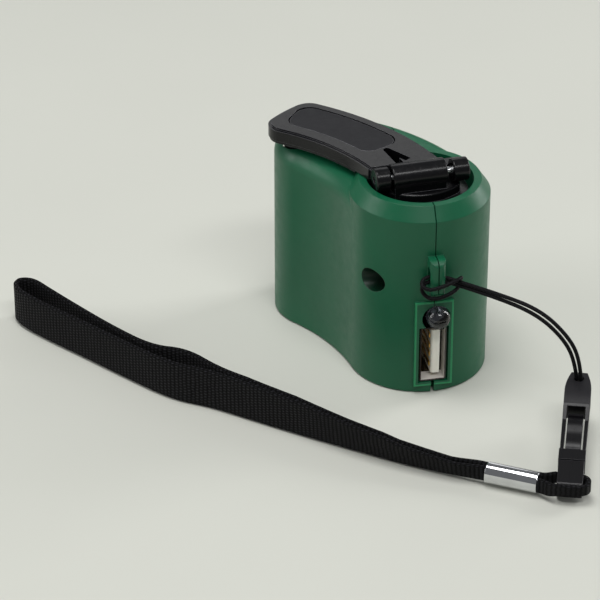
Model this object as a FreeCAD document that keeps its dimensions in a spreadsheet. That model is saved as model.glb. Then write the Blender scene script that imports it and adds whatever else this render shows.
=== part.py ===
import FreeCAD, Part
import math
import os

import Sketcher

os.makedirs("parts", exist_ok=True)
doc = FreeCAD.newDocument("crank_charger")
sheet = doc.addObject("Spreadsheet::Sheet", "Sizes")

# Millimetres. The crank's axis is Z, the base is at z = 0, the USB port faces -Y and the seam is x = 0.
SIZES = {
    # case
    "wall": 1.6,
    "front_radius": 14.9,
    "tail_x": -14.0,
    "tail_y": 26.0,
    "tail_radius": 11.9,
    "far_radius": 48.0,
    "near_radius": 45.0,
    "tail_top": 42.6,
    "top_fillet": 4.2,
    "base_fillet": 0.6,
    "land_top": 44.2,
    "chamfer_low": 41.3,
    "land_radius": 12.9,
    "opening_radius": 11.3,
    "opening_floor": 37.0,
    "deck_low": 35.0,
    "bearing_radius": 5.0,
    "seam_width": 0.2,
    "seam_depth": 0.7,
    # USB bezel, port and LED
    "bezel_front": 15.25,
    "bezel_half": 4.15,
    "bezel_low": 2.0,
    "bezel_high": 22.5,
    "port_half": 3.2,
    "port_low": 2.8,
    "port_high": 16.3,
    "led_x": 0.45,
    "led_height": 18.4,
    "led_hole": 3.05,
    "led_radius": 2.5,
    "lamp_x": 0.8,
    "lamp_out": 0.32,
    "lamp_gap": 0.1,
    # lanyard bail
    "bail_half": 1.7,
    "bail_low": 25.2,
    "bail_high": 33.5,
    "bail_front": 18.3,
    "bail_round": 1.6,
    "eye_radius": 1.0,
    "eye_low": 27.4,
    "eye_high": 30.6,
    "eye_y": -16.2,
    # case screw
    "screw_y": -8.6,
    "screw_height": 25.5,
    "screw_recess": 2.6,
    "screw_boss": 3.7,
    "screw_head": 2.3,
    "screw_shank": 1.0,
    # knob recess
    "knob_x": -20.1,
    "knob_y": 24.9,
    "knob_top_radius": 4.0,
    "knob_low_radius": 3.75,
    "knob_top": 44.2,
    "knob_low": 23.6,
    "recess_gap": 0.35,
    "recess_wall": 1.1,
    "recess_floor": 22.6,
    # crank
    "crank_turn": 4.0,
    "hinge_y": -2.1,
    "hinge_height": 46.0,
    "barrel_radius": 2.9,
    "barrel_left": -7.1,
    "barrel_right": 4.6,
    "knuckle_radius": 2.5,
    "left_out": -10.7,
    "left_in": -7.5,
    "right_in": 6.1,
    "right_out": 9.6,
    "bar_top": 45.9,
    "hinge_gap": 0.35,
    "pin_radius": 0.8,
    "running_gap": 0.06,
    "disc_radius": 8.4,
    "disc_low": 37.4,
    "disc_top": 43.3,
    "flange_radius": 11.5,
    "flange_front": 6.4,
    "base_radius": 10.2,
    "base_top": 41.4,
    "arm_low": 44.5,
    "arm_top": 47.3,
    "skirt_low": 43.8,
    "skirt_width": 1.6,
    "skirt_from": 13.8,
    "arm_centre_x": -53.5,
    "arm_centre_y": -15.2,
    "arm_inner": 45.2,
    "arm_outer": 60.5,
    "arm_reach": 37.7,
    "arm_corner": 4.0,
    "arm_step": 0.4,
    "arm_inset": 0.7,
    "inlay_inner": 48.8,
    "inlay_outer": 57.9,
    "inlay_start": 26.8,
    "inlay_sweep": 26.2,
    "inlay_corner": 3.2,
    "inlay_depth": 0.9,
    "inlay_drop": 0.15,
    "groove": 0.25,
    # gears
    "gear_module": 0.5,
    "drive_teeth": 40,
    "pinion_teeth": 10,
    "wheel_teeth": 32,
    "rotor_teeth": 9,
    "gear_a_x": -2.5,
    "gear_b_x": -9.0,
    "rotor_x": -16.55,
    "drive_low": 30.1,
    "drive_high": 33.0,
    "wheel_a_low": 24.0,
    "wheel_a_high": 26.2,
    "wheel_b_low": 16.0,
    "wheel_b_high": 18.4,
    "axle_radius": 0.75,
    "shaft_radius": 3.0,
    # gear plate and its posts
    "plate_low": 21.0,
    "plate_high": 22.4,
    "post_radius": 1.6,
    "stake_radius": 0.8,
    # generator
    "can_radius": 7.1,
    "can_top": 13.4,
    "cap_top": 14.6,
    "rotor_shaft": 0.75,
    # board and socket
    "board_back": -4.05,
    "board_face": -2.85,
    "board_rear": 4.6,
    "board_seat": 0.33,
    "board_low": 1.8,
    "board_high": 20.9,
    "shell_half": 2.85,
    "shell_low": 3.0,
    "shell_high": 16.1,
    "shell_front": -14.9,
    "shell_rear": -1.6,
    "shell_sheet": 0.3,
    "tongue_low": -0.25,
    "tongue_high": 1.6,
    "tongue_bevel": 0.6,
    # lanyard cord, strap and crimp
    "cord_radius": 0.42,
    "strap_height": 9.8,
    "strap_thick": 1.1,
    "strap_slope": 7.4,
    "crimp_x": 7.45,
    "crimp_y": -53.45,
    "crimp_turn": -32.1,
    "crimp_length": 10.9,
    "crimp_thick": 4.4,
    "crimp_height": 5.0,
    "crimp_sheet": 0.5,
    # buckle, in its own frame: y runs from the socket's tip to the catch's end
    "buckle_x": 27.35,
    "buckle_y": -31.3,
    "buckle_z": 10.5,
    "buckle_turn": 160.97,
    "buckle_pitch": -14.4,
    "buckle_half": 2.75,
    "buckle_thick": 2.1,
    "socket_shoulder": 9.8,
    "bridge_from": 22.3,
    "bridge_to": 25.1,
    "catch_from": 25.4,
    "catch_to": 32.1,
    "prong_half": 1.6,
    "prong_tip": 11.0,
    "prong_low": -0.9,
    "prong_high": 0.4,
    "buckle_gap": 0.3,
}
for row, (alias, value) in enumerate(SIZES.items(), start=1):
    sheet.set(f"A{row}", alias)
    sheet.set(f"B{row}", str(value))
    sheet.setAlias(f"B{row}", alias)
doc.recompute()


def size(alias):
    return float(sheet.get(alias))


def bind(obj, path, formula):
    obj.setExpression(path, str(formula).replace("#", "Sizes."))


def place(obj, x, y, z):
    for axis, formula in zip("xyz", (x, y, z)):
        bind(obj, f"Placement.Base.{axis}", formula)


def box(name, x, y, z):
    """A box between the formulas of x = (low, high), y and z."""
    made = doc.addObject("Part::Box", name)
    for side, (low, high) in zip(("Length", "Width", "Height"), (x, y, z)):
        bind(made, side, f"({high})-({low})")
    place(made, x[0], y[0], z[0])
    return made


TURNS = {
    "z": FreeCAD.Rotation(),
    "x": FreeCAD.Rotation(FreeCAD.Vector(0, 1, 0), 90),
    "y": FreeCAD.Rotation(FreeCAD.Vector(1, 0, 0), -90),
}


def cylinder(name, radius, at, low, high, along="z"):
    """A cylinder along an axis from low to high. at is the two other coordinates, in x, y, z order."""
    made = doc.addObject("Part::Cylinder", name)
    made.Placement = FreeCAD.Placement(FreeCAD.Vector(), TURNS[along])
    bind(made, "Radius", radius)
    bind(made, "Height", f"({high})-({low})")
    start = list(at)
    start.insert("xyz".index(along), low)
    place(made, *start)
    return made


def cone(name, radius_low, radius_high, at, low, high):
    made = doc.addObject("Part::Cone", name)
    bind(made, "Radius1", radius_low)
    bind(made, "Radius2", radius_high)
    bind(made, "Height", f"({high})-({low})")
    place(made, at[0], at[1], low)
    return made


def fuse(name, *shapes):
    made = doc.addObject("Part::MultiFuse", name)
    made.Shapes = list(shapes)
    made.Refine = True
    return made


def common(name, *shapes):
    made = doc.addObject("Part::MultiCommon", name)
    made.Shapes = list(shapes)
    return made


def cut(name, base, *tools):
    tool = tools[0] if len(tools) == 1 else fuse(name + "_tools", *tools)
    made = doc.addObject("Part::Cut", name)
    made.Base = base
    made.Tool = tool
    return made


def arc_points(centre, radius, start, end):
    """A Part arc between two angles, in radians, anticlockwise."""
    circle = Part.Circle(FreeCAD.Vector(*centre, 0), FreeCAD.Vector(0, 0, 1), radius)
    return Part.ArcOfCircle(circle, start, end)


def tangent_centre(reach_front, reach_tail, side):
    """The centre that is reach_front from the front centre and reach_tail from the tail's."""
    tail = FreeCAD.Vector(size("tail_x"), size("tail_y"), 0)
    span = tail.Length
    along = tail / span
    across = FreeCAD.Vector(-along.y, along.x, 0) * side
    down = (reach_front**2 - reach_tail**2 + span**2) / (2 * span)
    return along * down + across * math.sqrt(reach_front**2 - down**2)


def heading(start, end):
    return math.atan2(end.y - start.y, end.x - start.x)


def outline(name, inset):
    """The kidney-shaped plan of four tangent arcs, moved inwards by inset."""
    gap = inset_value(inset)
    radii = {
        "front": size("front_radius") - gap,
        "near": size("near_radius") + gap,
        "tail": size("tail_radius") - gap,
        "far": size("far_radius") - gap,
    }
    origin = FreeCAD.Vector()
    tail = FreeCAD.Vector(size("tail_x"), size("tail_y"), 0)
    near = tangent_centre(
        radii["near"] + radii["front"], radii["near"] + radii["tail"], 1
    )
    far = tangent_centre(radii["far"] - radii["front"], radii["far"] - radii["tail"], 1)
    made = doc.addObject("Sketcher::SketchObject", name)
    turn = 2 * math.pi
    front_far = heading(far, origin)
    front_near = heading(origin, near)
    tail_far = heading(far, tail)
    tail_near = heading(tail, near)
    near_front = heading(near, origin)
    near_tail = heading(near, tail)
    front = made.addGeometry(
        arc_points((0, 0), radii["front"], front_near, front_far + turn)
        if front_near > front_far
        else arc_points((0, 0), radii["front"], front_near, front_far)
    )
    far_arc = made.addGeometry(
        arc_points((far.x, far.y), radii["far"], front_far, tail_far)
    )
    tail_arc = made.addGeometry(
        arc_points((tail.x, tail.y), radii["tail"], tail_far, tail_near % turn)
    )
    near_arc = made.addGeometry(
        arc_points((near.x, near.y), radii["near"], near_front, near_tail)
    )
    for one, other in (
        ((front, 2), (far_arc, 1)),
        ((far_arc, 2), (tail_arc, 1)),
        ((tail_arc, 2), (near_arc, 2)),
        ((near_arc, 1), (front, 1)),
    ):
        made.addConstraint(Sketcher.Constraint("Tangent", *one, *other))
    made.addConstraint(Sketcher.Constraint("Coincident", front, 3, -1, 1))
    for axis, word in (("DistanceX", "tail_x"), ("DistanceY", "tail_y")):
        number = made.addConstraint(
            Sketcher.Constraint(axis, -1, 1, tail_arc, 3, size(word))
        )
        bind(made, f"Constraints[{number}]", f"#{word}")
    for arc, word, sign in (
        (front, "front", "-"),
        (tail_arc, "tail", "-"),
        (far_arc, "far", "-"),
        (near_arc, "near", "+"),
    ):
        number = made.addConstraint(Sketcher.Constraint("Radius", arc, radii[word]))
        bind(made, f"Constraints[{number}]", f"#{word}_radius{sign}({inset})")
    return made


def inset_value(formula):
    """The value of a sum of size names and numbers, as the outline's starting geometry needs it."""
    total = 0.0
    for word in formula.split("+"):
        word = word.strip()
        total += size(word[1:]) if word.startswith("#") else float(word)
    return total


def kidney(name, inset, low, high):
    """A prism on the case's plan, from low to high."""
    plan = outline(name + "_plan", inset)
    bind(plan, "Placement.Base.z", low)
    made = doc.addObject("Part::Extrusion", name)
    made.Base = plan
    made.DirMode = "Custom"
    made.Dir = FreeCAD.Vector(0, 0, 1)
    made.Solid = True
    bind(made, "LengthFwd", f"({high})-({low})")
    return made


def edge_numbers(shape, wanted):
    return [n for n, e in enumerate(shape.Edges, start=1) if wanted(e)]


def rounded(name, base, radius, wanted):
    """base with a fillet on each edge that wanted() picks."""
    doc.recompute()
    made = doc.addObject("Part::Fillet", name)
    made.Base = base
    made.Edges = [(n, radius, radius) for n in edge_numbers(base.Shape, wanted)]
    return made


def at_height(height):
    def wanted(edge):
        low, high = edge.BoundBox.ZMin, edge.BoundBox.ZMax
        return abs(low - height) < 1e-4 and abs(high - height) < 1e-4

    return wanted


def upright(reach=0.0):
    """Picks straight upright edges at least reach from the crank's axis."""

    def wanted(edge):
        b = edge.BoundBox
        straight = b.XLength < 1e-4 and b.YLength < 1e-4
        return straight and math.hypot(b.XMin, b.YMin) >= reach

    return wanted


PARTS = {}


def part(node, obj):
    obj.Label = node
    PARTS[node] = obj
    return obj


# Case: kidney blank with the front turret, hollowed, with the deck that carries the crank.
blank = kidney("blank", "0", "0", "#tail_top")
blank_top = rounded(
    "blank_top", blank, size("top_fillet"), at_height(size("tail_top"))
)
blank_round = rounded("blank_round", blank_top, size("base_fillet"), at_height(0.0))
turret = cylinder("turret", "#front_radius", ("0", "0"), "20", "#chamfer_low")
turret_cap = cone(
    "turret_cap",
    "#front_radius",
    "#land_radius",
    ("0", "0"),
    "#chamfer_low",
    "#land_top",
)
bezel = box(
    "bezel",
    ("-#bezel_half", "#bezel_half"),
    ("-#bezel_front", "-#front_radius+4"),
    ("#bezel_low", "#bezel_high"),
)
bail_plate = box(
    "bail_plate",
    ("-#bail_half", "#bail_half"),
    ("-#bail_front", "-#front_radius+2"),
    ("#bail_low", "#bail_high"),
)


def bail_edge(edge):
    b = edge.BoundBox
    return b.YLength < 1e-4 and abs(b.YMin + size("bail_front")) < 1e-4


bail = rounded("bail", bail_plate, size("bail_round"), bail_edge)
case_out = fuse("case_out", blank_round, turret, turret_cap, bezel, bail)

recess_reach = "#knob_top_radius+#recess_gap"
recess_round = cylinder(
    "recess_round", recess_reach, ("#knob_x", "#knob_y"), "#recess_floor", "60"
)
recess_way = box(
    "recess_way",
    (f"#knob_x-({recess_reach})", f"#knob_x+{recess_reach}"),
    ("#knob_y", "60"),
    ("#recess_floor", "60"),
)
keep_reach = recess_reach + "+#recess_wall"
keep_round = cylinder(
    "keep_round",
    keep_reach,
    ("#knob_x", "#knob_y"),
    "#recess_floor-#recess_wall",
    "60",
)
keep_way = box(
    "keep_way",
    (f"#knob_x-({keep_reach})-20", f"#knob_x+{keep_reach}"),
    ("#knob_y", "60"),
    ("#recess_floor-#recess_wall", "60"),
)
keep_deck = cylinder(
    "keep_deck", "#front_radius-#wall+0.3", ("0", "0"), "#deck_low", "60"
)
hollow = kidney("hollow", "#wall", "#wall", "#tail_top-#wall")
hollow_top = rounded(
    "hollow_top",
    hollow,
    size("top_fillet") - size("wall"),
    at_height(size("tail_top") - size("wall")),
)
cavity = cut("cavity", hollow_top, keep_round, keep_way, keep_deck)
opening = cylinder("opening", "#opening_radius", ("0", "0"), "#opening_floor", "60")
bearing = cylinder("bearing", "#bearing_radius", ("0", "0"), "#deck_low-2", "60")
port = box(
    "port",
    ("-#port_half", "#port_half"),
    ("-#bezel_front-2", "-#front_radius+4"),
    ("#port_low", "#port_high"),
)
led_hole = cylinder(
    "led_hole",
    "#led_hole",
    ("#led_x", "#led_height"),
    "-#bezel_front-2",
    "-#front_radius+4",
    "y",
)
eye_low = cylinder(
    "eye_bottom", "#eye_radius", ("#eye_y", "#eye_low"), "-9", "9", "x"
)
eye_high = cylinder(
    "eye_top", "#eye_radius", ("#eye_y", "#eye_high"), "-9", "9", "x"
)
eye_mid = box(
    "eye_mid",
    ("-9", "9"),
    ("#eye_y-#eye_radius", "#eye_y+#eye_radius"),
    ("#eye_low", "#eye_high"),
)
notch = box(
    "notch",
    ("-0.35", "0.35"),
    ("-#bezel_front-2", "-#front_radius+3"),
    ("#bezel_low-3", "#port_low+1"),
)
screw_way = cylinder(
    "screw_way", "#screw_recess", ("#screw_y", "#screw_height"), "-20", "-7", "x"
)
seam_keep = kidney("seam_keep", "#seam_depth", "#seam_depth", "#tail_top-#seam_depth")
seam_turret = cylinder(
    "seam_turret",
    "#land_radius-#seam_depth",
    ("0", "0"),
    "#seam_depth",
    "#land_top-#seam_depth",
)
seam_slab = box(
    "seam_slab",
    ("-#seam_width/2", "#seam_width/2"),
    ("-40", "60"),
    ("#seam_depth", "60"),
)
seam = cut("seam", seam_slab, seam_keep, seam_turret)
case_hollow = cut(
    "case_hollow",
    case_out,
    cavity,
    opening,
    bearing,
    recess_round,
    recess_way,
    port,
    led_hole,
    eye_low,
    eye_high,
    eye_mid,
    seam,
)

# Inside the case: the screw's boss, the posts of the gear plate, the pocket for each axle.
mesh_a = "((#drive_teeth+#pinion_teeth)*#gear_module/2)"
mesh_b = "((#wheel_teeth+#pinion_teeth)*#gear_module/2)"
mesh_c = "((#wheel_teeth+#rotor_teeth)*#gear_module/2)"
gear_a_y = f"sqrt({mesh_a}^2-#gear_a_x^2)"
gear_b_y = f"({gear_a_y}+sqrt({mesh_b}^2-(#gear_b_x-#gear_a_x)^2))"
rotor_y = f"({gear_b_y}+sqrt({mesh_c}^2-(#rotor_x-#gear_b_x)^2))"
AXLE_A = ("#gear_a_x", gear_a_y)
AXLE_B = ("#gear_b_x", gear_b_y)
ROTOR = ("#rotor_x", rotor_y)
POSTS = (("-12.6", "6.5"), ("8.0", "9.5"), ("3.2", "22.5"))

boss = cylinder(
    "boss", "#screw_boss", ("#screw_y", "#screw_height"), "-12.6", "12.6", "x"
)
additions = [boss]
for number, post in enumerate(POSTS):
    additions.append(
        cylinder(f"post_{number}", "#post_radius", post, "#wall-0.2", "#plate_low")
    )
    additions.append(
        cylinder(
            f"stake_{number}", "#stake_radius", post, "#plate_low-1", "#plate_high+0.7"
        )
    )
additions.append(cylinder("post_b", "1.7", AXLE_B, "#wall-0.2", "#wheel_b_low-0.6"))
additions.append(cylinder("socket_a", "1.9", AXLE_A, "#drive_high+1", "#deck_low+0.5"))
blank_all = kidney("blank_all", "0.3", "0.5", "#tail_top-4.5")
additions_in = common("additions_in", fuse("additions_all", *additions), blank_all)
case_full = fuse("case_full", case_hollow, additions_in)
board_front = "(-sqrt((#front_radius-#wall)^2-#board_back^2)-#board_seat)"
board_slot = box(
    "board_slot",
    ("#board_back-0.05", "#board_face+0.05"),
    (f"{board_front}-0.2", "#board_rear+0.2"),
    ("#wall", "#board_high+0.3"),
)
axle_a_hole = cylinder(
    "axle_a_hole", "#axle_radius", AXLE_A, "#drive_high", "#deck_low+0.2"
)
axle_b_hole = cylinder(
    "axle_b_hole", "#axle_radius", AXLE_B, "#wall+3", "#wheel_b_low+1"
)
screw_pilot = cylinder(
    "screw_pilot", "#screw_shank", ("#screw_y", "#screw_height"), "-20", "9", "x"
)
case_whole = cut(
    "case_whole",
    case_full,
    board_slot,
    axle_a_hole,
    axle_b_hole,
    screw_way,
    screw_pilot,
    notch,
)
left_side = box("left_side", ("-40", "0"), ("-40", "60"), ("-2", "60"))
right_side = box("right_side", ("0", "40"), ("-40", "60"), ("-2", "60"))
part("case_left", common("case_left_half", case_whole, left_side))
part("case_right", common("case_right_half", case_whole, right_side))

# The screw in the left half's recess.
screw_head = cylinder(
    "screw_head", "#screw_head", ("#screw_y", "#screw_height"), "-8.4", "-7", "x"
)
screw_body = cylinder(
    "screw_body", "#screw_shank", ("#screw_y", "#screw_height"), "-7.2", "6", "x"
)
screw_cross = box(
    "screw_cross",
    ("-9", "-7.7"),
    ("#screw_y-1.4", "#screw_y+1.4"),
    ("#screw_height-0.25", "#screw_height+0.25"),
)
screw_cross_up = box(
    "screw_cross_up",
    ("-9", "-7.7"),
    ("#screw_y-0.25", "#screw_y+0.25"),
    ("#screw_height-1.4", "#screw_height+1.4"),
)
part(
    "case_screw",
    cut(
        "case_screw_cut",
        fuse("case_screw_body", screw_head, screw_body),
        screw_cross,
        screw_cross_up,
    ),
)


def gear(name, teeth, at, low, high, turn):
    """A toothed disc. The first tooth points along turn, a formula in degrees."""
    body = doc.addObject("PartDesign::Body", name)
    pitch = f"({teeth}*#gear_module/2)"
    ring = body.newObject("Sketcher::SketchObject", name + "_ring")
    circle = ring.addGeometry(
        Part.Circle(FreeCAD.Vector(), FreeCAD.Vector(0, 0, 1), 2), False
    )
    ring.addConstraint(Sketcher.Constraint("Coincident", circle, 3, -1, 1))
    number = ring.addConstraint(Sketcher.Constraint("Radius", circle, 2))
    bind(ring, f"Constraints[{number}]", f"{pitch}-1.2*#gear_module")
    disc = body.newObject("PartDesign::Pad", name + "_disc")
    disc.Profile = ring
    bind(disc, "Length", f"({high})-({low})")
    flank = body.newObject("Sketcher::SketchObject", name + "_flank")
    corners = [(1, -0.4), (2, -0.15), (2, 0.15), (1, 0.4)]
    formulas = [
        (f"{pitch}-1.5*#gear_module", "-0.9*#gear_module"),
        (f"{pitch}+0.9*#gear_module", "-0.28*#gear_module"),
        (f"{pitch}+0.9*#gear_module", "0.28*#gear_module"),
        (f"{pitch}-1.5*#gear_module", "0.9*#gear_module"),
    ]
    for here, there in zip(corners, corners[1:] + corners[:1]):
        flank.addGeometry(
            Part.LineSegment(FreeCAD.Vector(*here, 0), FreeCAD.Vector(*there, 0)), False
        )
    for line in range(4):
        flank.addConstraint(
            Sketcher.Constraint("Coincident", line, 2, (line + 1) % 4, 1)
        )
    for line, (x, y) in enumerate(formulas):
        for axis, formula, value in (
            ("DistanceX", x, corners[line][0]),
            ("DistanceY", y, corners[line][1]),
        ):
            number = flank.addConstraint(
                Sketcher.Constraint(axis, -1, 1, line, 1, value)
            )
            bind(flank, f"Constraints[{number}]", formula)
    tooth = body.newObject("PartDesign::Pad", name + "_tooth")
    tooth.Profile = flank
    bind(tooth, "Length", f"({high})-({low})")
    ring_of = body.newObject("PartDesign::PolarPattern", name + "_teeth")
    ring_of.Originals = [tooth]
    ring_of.Axis = (flank, ["N_Axis"])
    ring_of.Angle = 360
    bind(ring_of, "Occurrences", teeth)
    body.Tip = ring_of
    body.Placement = FreeCAD.Placement(
        FreeCAD.Vector(), FreeCAD.Rotation(FreeCAD.Vector(0, 0, 1), 10)
    )
    bind(body, "Placement.Rotation.Angle", turn)
    place(body, at[0], at[1], low)
    return body


def facing(here, there):
    """The direction in degrees from one axle to the next, which lies up and to the left."""
    return f"(180-atan(({there[1]}-{here[1]})/({here[0]}-({there[0]}))))"


HUB = ("0", "0")
to_a = facing(HUB, AXLE_A).replace("(180-", "(180deg-")
to_b = facing(AXLE_A, AXLE_B).replace("(180-", "(180deg-")
to_rotor = facing(AXLE_B, ROTOR).replace("(180-", "(180deg-")

# Drive gear on the crank's shaft.
drive_teeth = gear(
    "drive_teeth_disc", "#drive_teeth", HUB, "#drive_low", "#drive_high", to_a
)
drive_collar = cylinder(
    "drive_collar", "#shaft_radius+1.2", HUB, "#drive_low", "#deck_low-0.3"
)
drive_bore = cylinder("drive_bore", "#shaft_radius", HUB, "#drive_low-1", "#deck_low")
part(
    "drive_gear",
    cut("drive_gear_cut", fuse("drive_gear_body", drive_teeth, drive_collar), drive_bore),
)

# Two compound gears, each a wheel and a pinion in one piece.
wheel_a = gear(
    "wheel_a", "#wheel_teeth", AXLE_A, "#wheel_a_low", "#wheel_a_high", to_b
)
pinion_a = gear(
    "pinion_a",
    "#pinion_teeth",
    AXLE_A,
    "#wheel_a_high-0.2",
    "#drive_high+0.3",
    f"{to_a}+180deg+180deg/#pinion_teeth",
)
bore_a = cylinder(
    "bore_a", "#axle_radius+#running_gap", AXLE_A, "#wheel_a_low-2", "#drive_high+2"
)
part("gear_a", cut("gear_a_cut", fuse("gear_a_body", wheel_a, pinion_a), bore_a))
wheel_b = gear(
    "wheel_b", "#wheel_teeth", AXLE_B, "#wheel_b_low", "#wheel_b_high", to_rotor
)
pinion_b = gear(
    "pinion_b",
    "#pinion_teeth",
    AXLE_B,
    "#wheel_b_high-0.2",
    "#wheel_a_high+0.3",
    f"{to_b}+180deg+180deg/#pinion_teeth",
)
bore_b = cylinder(
    "bore_b", "#axle_radius+#running_gap", AXLE_B, "#wheel_b_low-2", "#wheel_a_high+2"
)
part("gear_b", cut("gear_b_cut", fuse("gear_b_body", wheel_b, pinion_b), bore_b))
part(
    "axle_a",
    cylinder("axle_a_pin", "#axle_radius", AXLE_A, "#plate_low", "#deck_low+0.2"),
)
part(
    "axle_b",
    cylinder("axle_b_pin", "#axle_radius", AXLE_B, "#wall+3", "#wheel_a_high+1"),
)

# Gear plate on three staked posts, with a way through for the lower pinion.
plate_all = kidney("plate_all", "#wall+0.3", "#plate_low", "#plate_high")
plate_span = box(
    "plate_span", ("-30", "30"), ("5", "25.5"), ("#plate_low-1", "#plate_high+1")
)
plate_keep = cylinder(
    "plate_keep",
    keep_reach + "+0.3",
    ("#knob_x", "#knob_y"),
    "#plate_low-1",
    "#plate_high+1",
)
plate_corner = box(
    "plate_corner",
    ("-30", f"#knob_x+{keep_reach}+0.3"),
    ("#knob_y", "40"),
    ("#plate_low-1", "#plate_high+1"),
)
plate_way = cylinder("plate_way", "3.6", AXLE_B, "#plate_low-1", "#plate_high+1")
plate_axle = cylinder(
    "plate_axle", "#axle_radius", AXLE_A, "#plate_low-1", "#plate_high+1"
)
plate_holes = [
    cylinder(
        f"plate_hole_{n}", "#stake_radius", post, "#plate_low-1", "#plate_high+1"
    )
    for n, post in enumerate(POSTS)
]
part(
    "gear_plate",
    cut(
        "gear_plate_cut",
        common("gear_plate_body", plate_all, plate_span),
        plate_keep,
        plate_corner,
        plate_way,
        plate_axle,
        *plate_holes,
    ),
)

# Generator: steel can, end cap, and the rotor's shaft with its pinion.
can = cylinder("can", "#can_radius", ROTOR, "#wall", "#can_top")
can_room = cylinder("can_room", "#can_radius-0.6", ROTOR, "#wall+0.6", "#can_top+1")
part("generator_can", cut("generator_can_cut", can, can_room))
cap_disc = cylinder("cap_disc", "#can_radius", ROTOR, "#can_top", "#cap_top-0.4")
cap_boss = cylinder("cap_boss", "2.2", ROTOR, "#can_top-1", "#cap_top")
cap_plug = cylinder("cap_plug", "#can_radius-0.6", ROTOR, "#can_top-1", "#can_top")
cap_bore = cylinder("cap_bore", "#rotor_shaft+#running_gap", ROTOR, "5", "20")
part(
    "generator_cap",
    cut(
        "generator_cap_cut",
        fuse("generator_cap_body", cap_disc, cap_boss, cap_plug),
        cap_bore,
    ),
)
magnet = cylinder("magnet", "4.6", ROTOR, "#wall+1.4", "#can_top-1.6")
rotor_pin = cylinder("rotor_pin", "#rotor_shaft", ROTOR, "#wall+1", "#plate_low-0.5")
magnet_bore = cylinder("magnet_bore", "#rotor_shaft", ROTOR, "0", "30")
part("rotor_magnet", cut("rotor_magnet_cut", magnet, magnet_bore))
part("rotor_shaft", rotor_pin)
rotor_gear = gear(
    "rotor_gear",
    "#rotor_teeth",
    ROTOR,
    "#cap_top+0.5",
    "#wheel_b_high+0.8",
    f"{to_rotor}+180deg+180deg/#rotor_teeth",
)
rotor_bore = cylinder("rotor_bore", "#rotor_shaft", ROTOR, "10", "30")
part("rotor_pinion", cut("rotor_pinion_cut", rotor_gear, rotor_bore))
coil_out = cylinder("coil_out", "#can_radius-0.6", ROTOR, "#wall+1.6", "#can_top-1.8")
coil_in = cylinder("coil_in", "5.1", ROTOR, "#wall", "#can_top")
part("generator_coil", cut("generator_coil_cut", coil_out, coil_in))

# Crank hub: shaft in the deck's bearing, base disc, bowed flange, neck and the hinge's middle barrel.
def turned(name, shape):
    """The shape turned about the crank's axis to where the crank rests."""
    made = doc.addObject("Part::Compound", name)
    made.Links = [shape]
    made.Placement = FreeCAD.Placement(
        FreeCAD.Vector(), FreeCAD.Rotation(FreeCAD.Vector(0, 0, 1), 10)
    )
    bind(made, "Placement.Rotation.Angle", "#crank_turn")
    return made


HINGE = ("#hinge_y", "#hinge_height")
hub_shaft = cylinder("hub_shaft", "#shaft_radius", HUB, "#drive_low", "#deck_low")
hub_journal = cylinder(
    "hub_journal",
    "#bearing_radius-#running_gap",
    HUB,
    "#deck_low-0.3",
    "#disc_low+0.5",
)
hub_base = cylinder("hub_base", "#base_radius", HUB, "#disc_low", "#base_top")
hub_disc = cylinder("hub_disc", "#disc_radius", HUB, "#base_top-0.5", "#disc_top")
hub_bow = cylinder(
    "hub_bow",
    "#flange_radius",
    ("0", "#flange_radius-#flange_front"),
    "#base_top-1",
    "#disc_top+1",
)
hub_flange = common("hub_flange", hub_disc, hub_bow)


def flange_edge(edge):
    return at_height(size("disc_top"))(edge)


flange_round = rounded("flange_round", hub_flange, 0.45, flange_edge)
neck = box(
    "neck",
    ("#barrel_left+0.2", "#barrel_right-0.2"),
    ("#hinge_y-#barrel_radius+0.25", "#hinge_y+#barrel_radius-0.8"),
    ("#disc_top-1", "#hinge_height"),
)


def round_edge(edge):
    return edge.BoundBox.XLength < 1e-4


barrel_rod = cylinder(
    "barrel_rod", "#barrel_radius", HINGE, "#barrel_left", "#barrel_right", "x"
)
barrel = rounded("barrel", barrel_rod, 0.25, round_edge)
barrel_bore = cylinder(
    "barrel_bore", "#pin_radius+#running_gap", HINGE, "-20", "20", "x"
)
hub_pilot = cylinder("hub_pilot", "1", HUB, "#drive_low-1", "#deck_low")
part(
    "crank_hub",
    turned(
        "crank_hub_turned",
        cut(
            "crank_hub_cut",
            fuse(
                "crank_hub_body",
                hub_shaft,
                hub_journal,
                hub_base,
                flange_round,
                neck,
                barrel,
            ),
            barrel_bore,
            hub_pilot,
        )
    ),
)
hub_screw_head = cylinder("hub_screw_head", "4", HUB, "#drive_low-0.8", "#drive_low")
hub_screw_body = cylinder("hub_screw_body", "1", HUB, "#drive_low-0.5", "#deck_low-1")
part("hub_screw", fuse("hub_screw_all", hub_screw_head, hub_screw_body))

# Crank arm: a curved plate whose end is concentric with the hub, a skirt beyond the ring, two knuckles.
CURVE = ("#arm_centre_x", "#arm_centre_y")


def band(name, inner, outer, reach, low, high):
    """The part of a ring about the curve's centre that lies within reach of the hub, behind the hinge."""
    whole = cylinder(name + "_outer", outer, CURVE, low, high)
    inside = cylinder(name + "_inner", inner, CURVE, f"({low})-1", f"({high})+1")
    disc = cylinder(name + "_reach", reach, HUB, low, high)
    behind = box(
        name + "_behind",
        ("-40", "20"),
        ("#hinge_y+#barrel_radius+#hinge_gap", "60"),
        (f"({low})-1", f"({high})+1"),
    )
    back_half = turned(name + "_back", behind)
    return cut(name, common(name + "_meet", whole, disc, back_half), inside)


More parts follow.
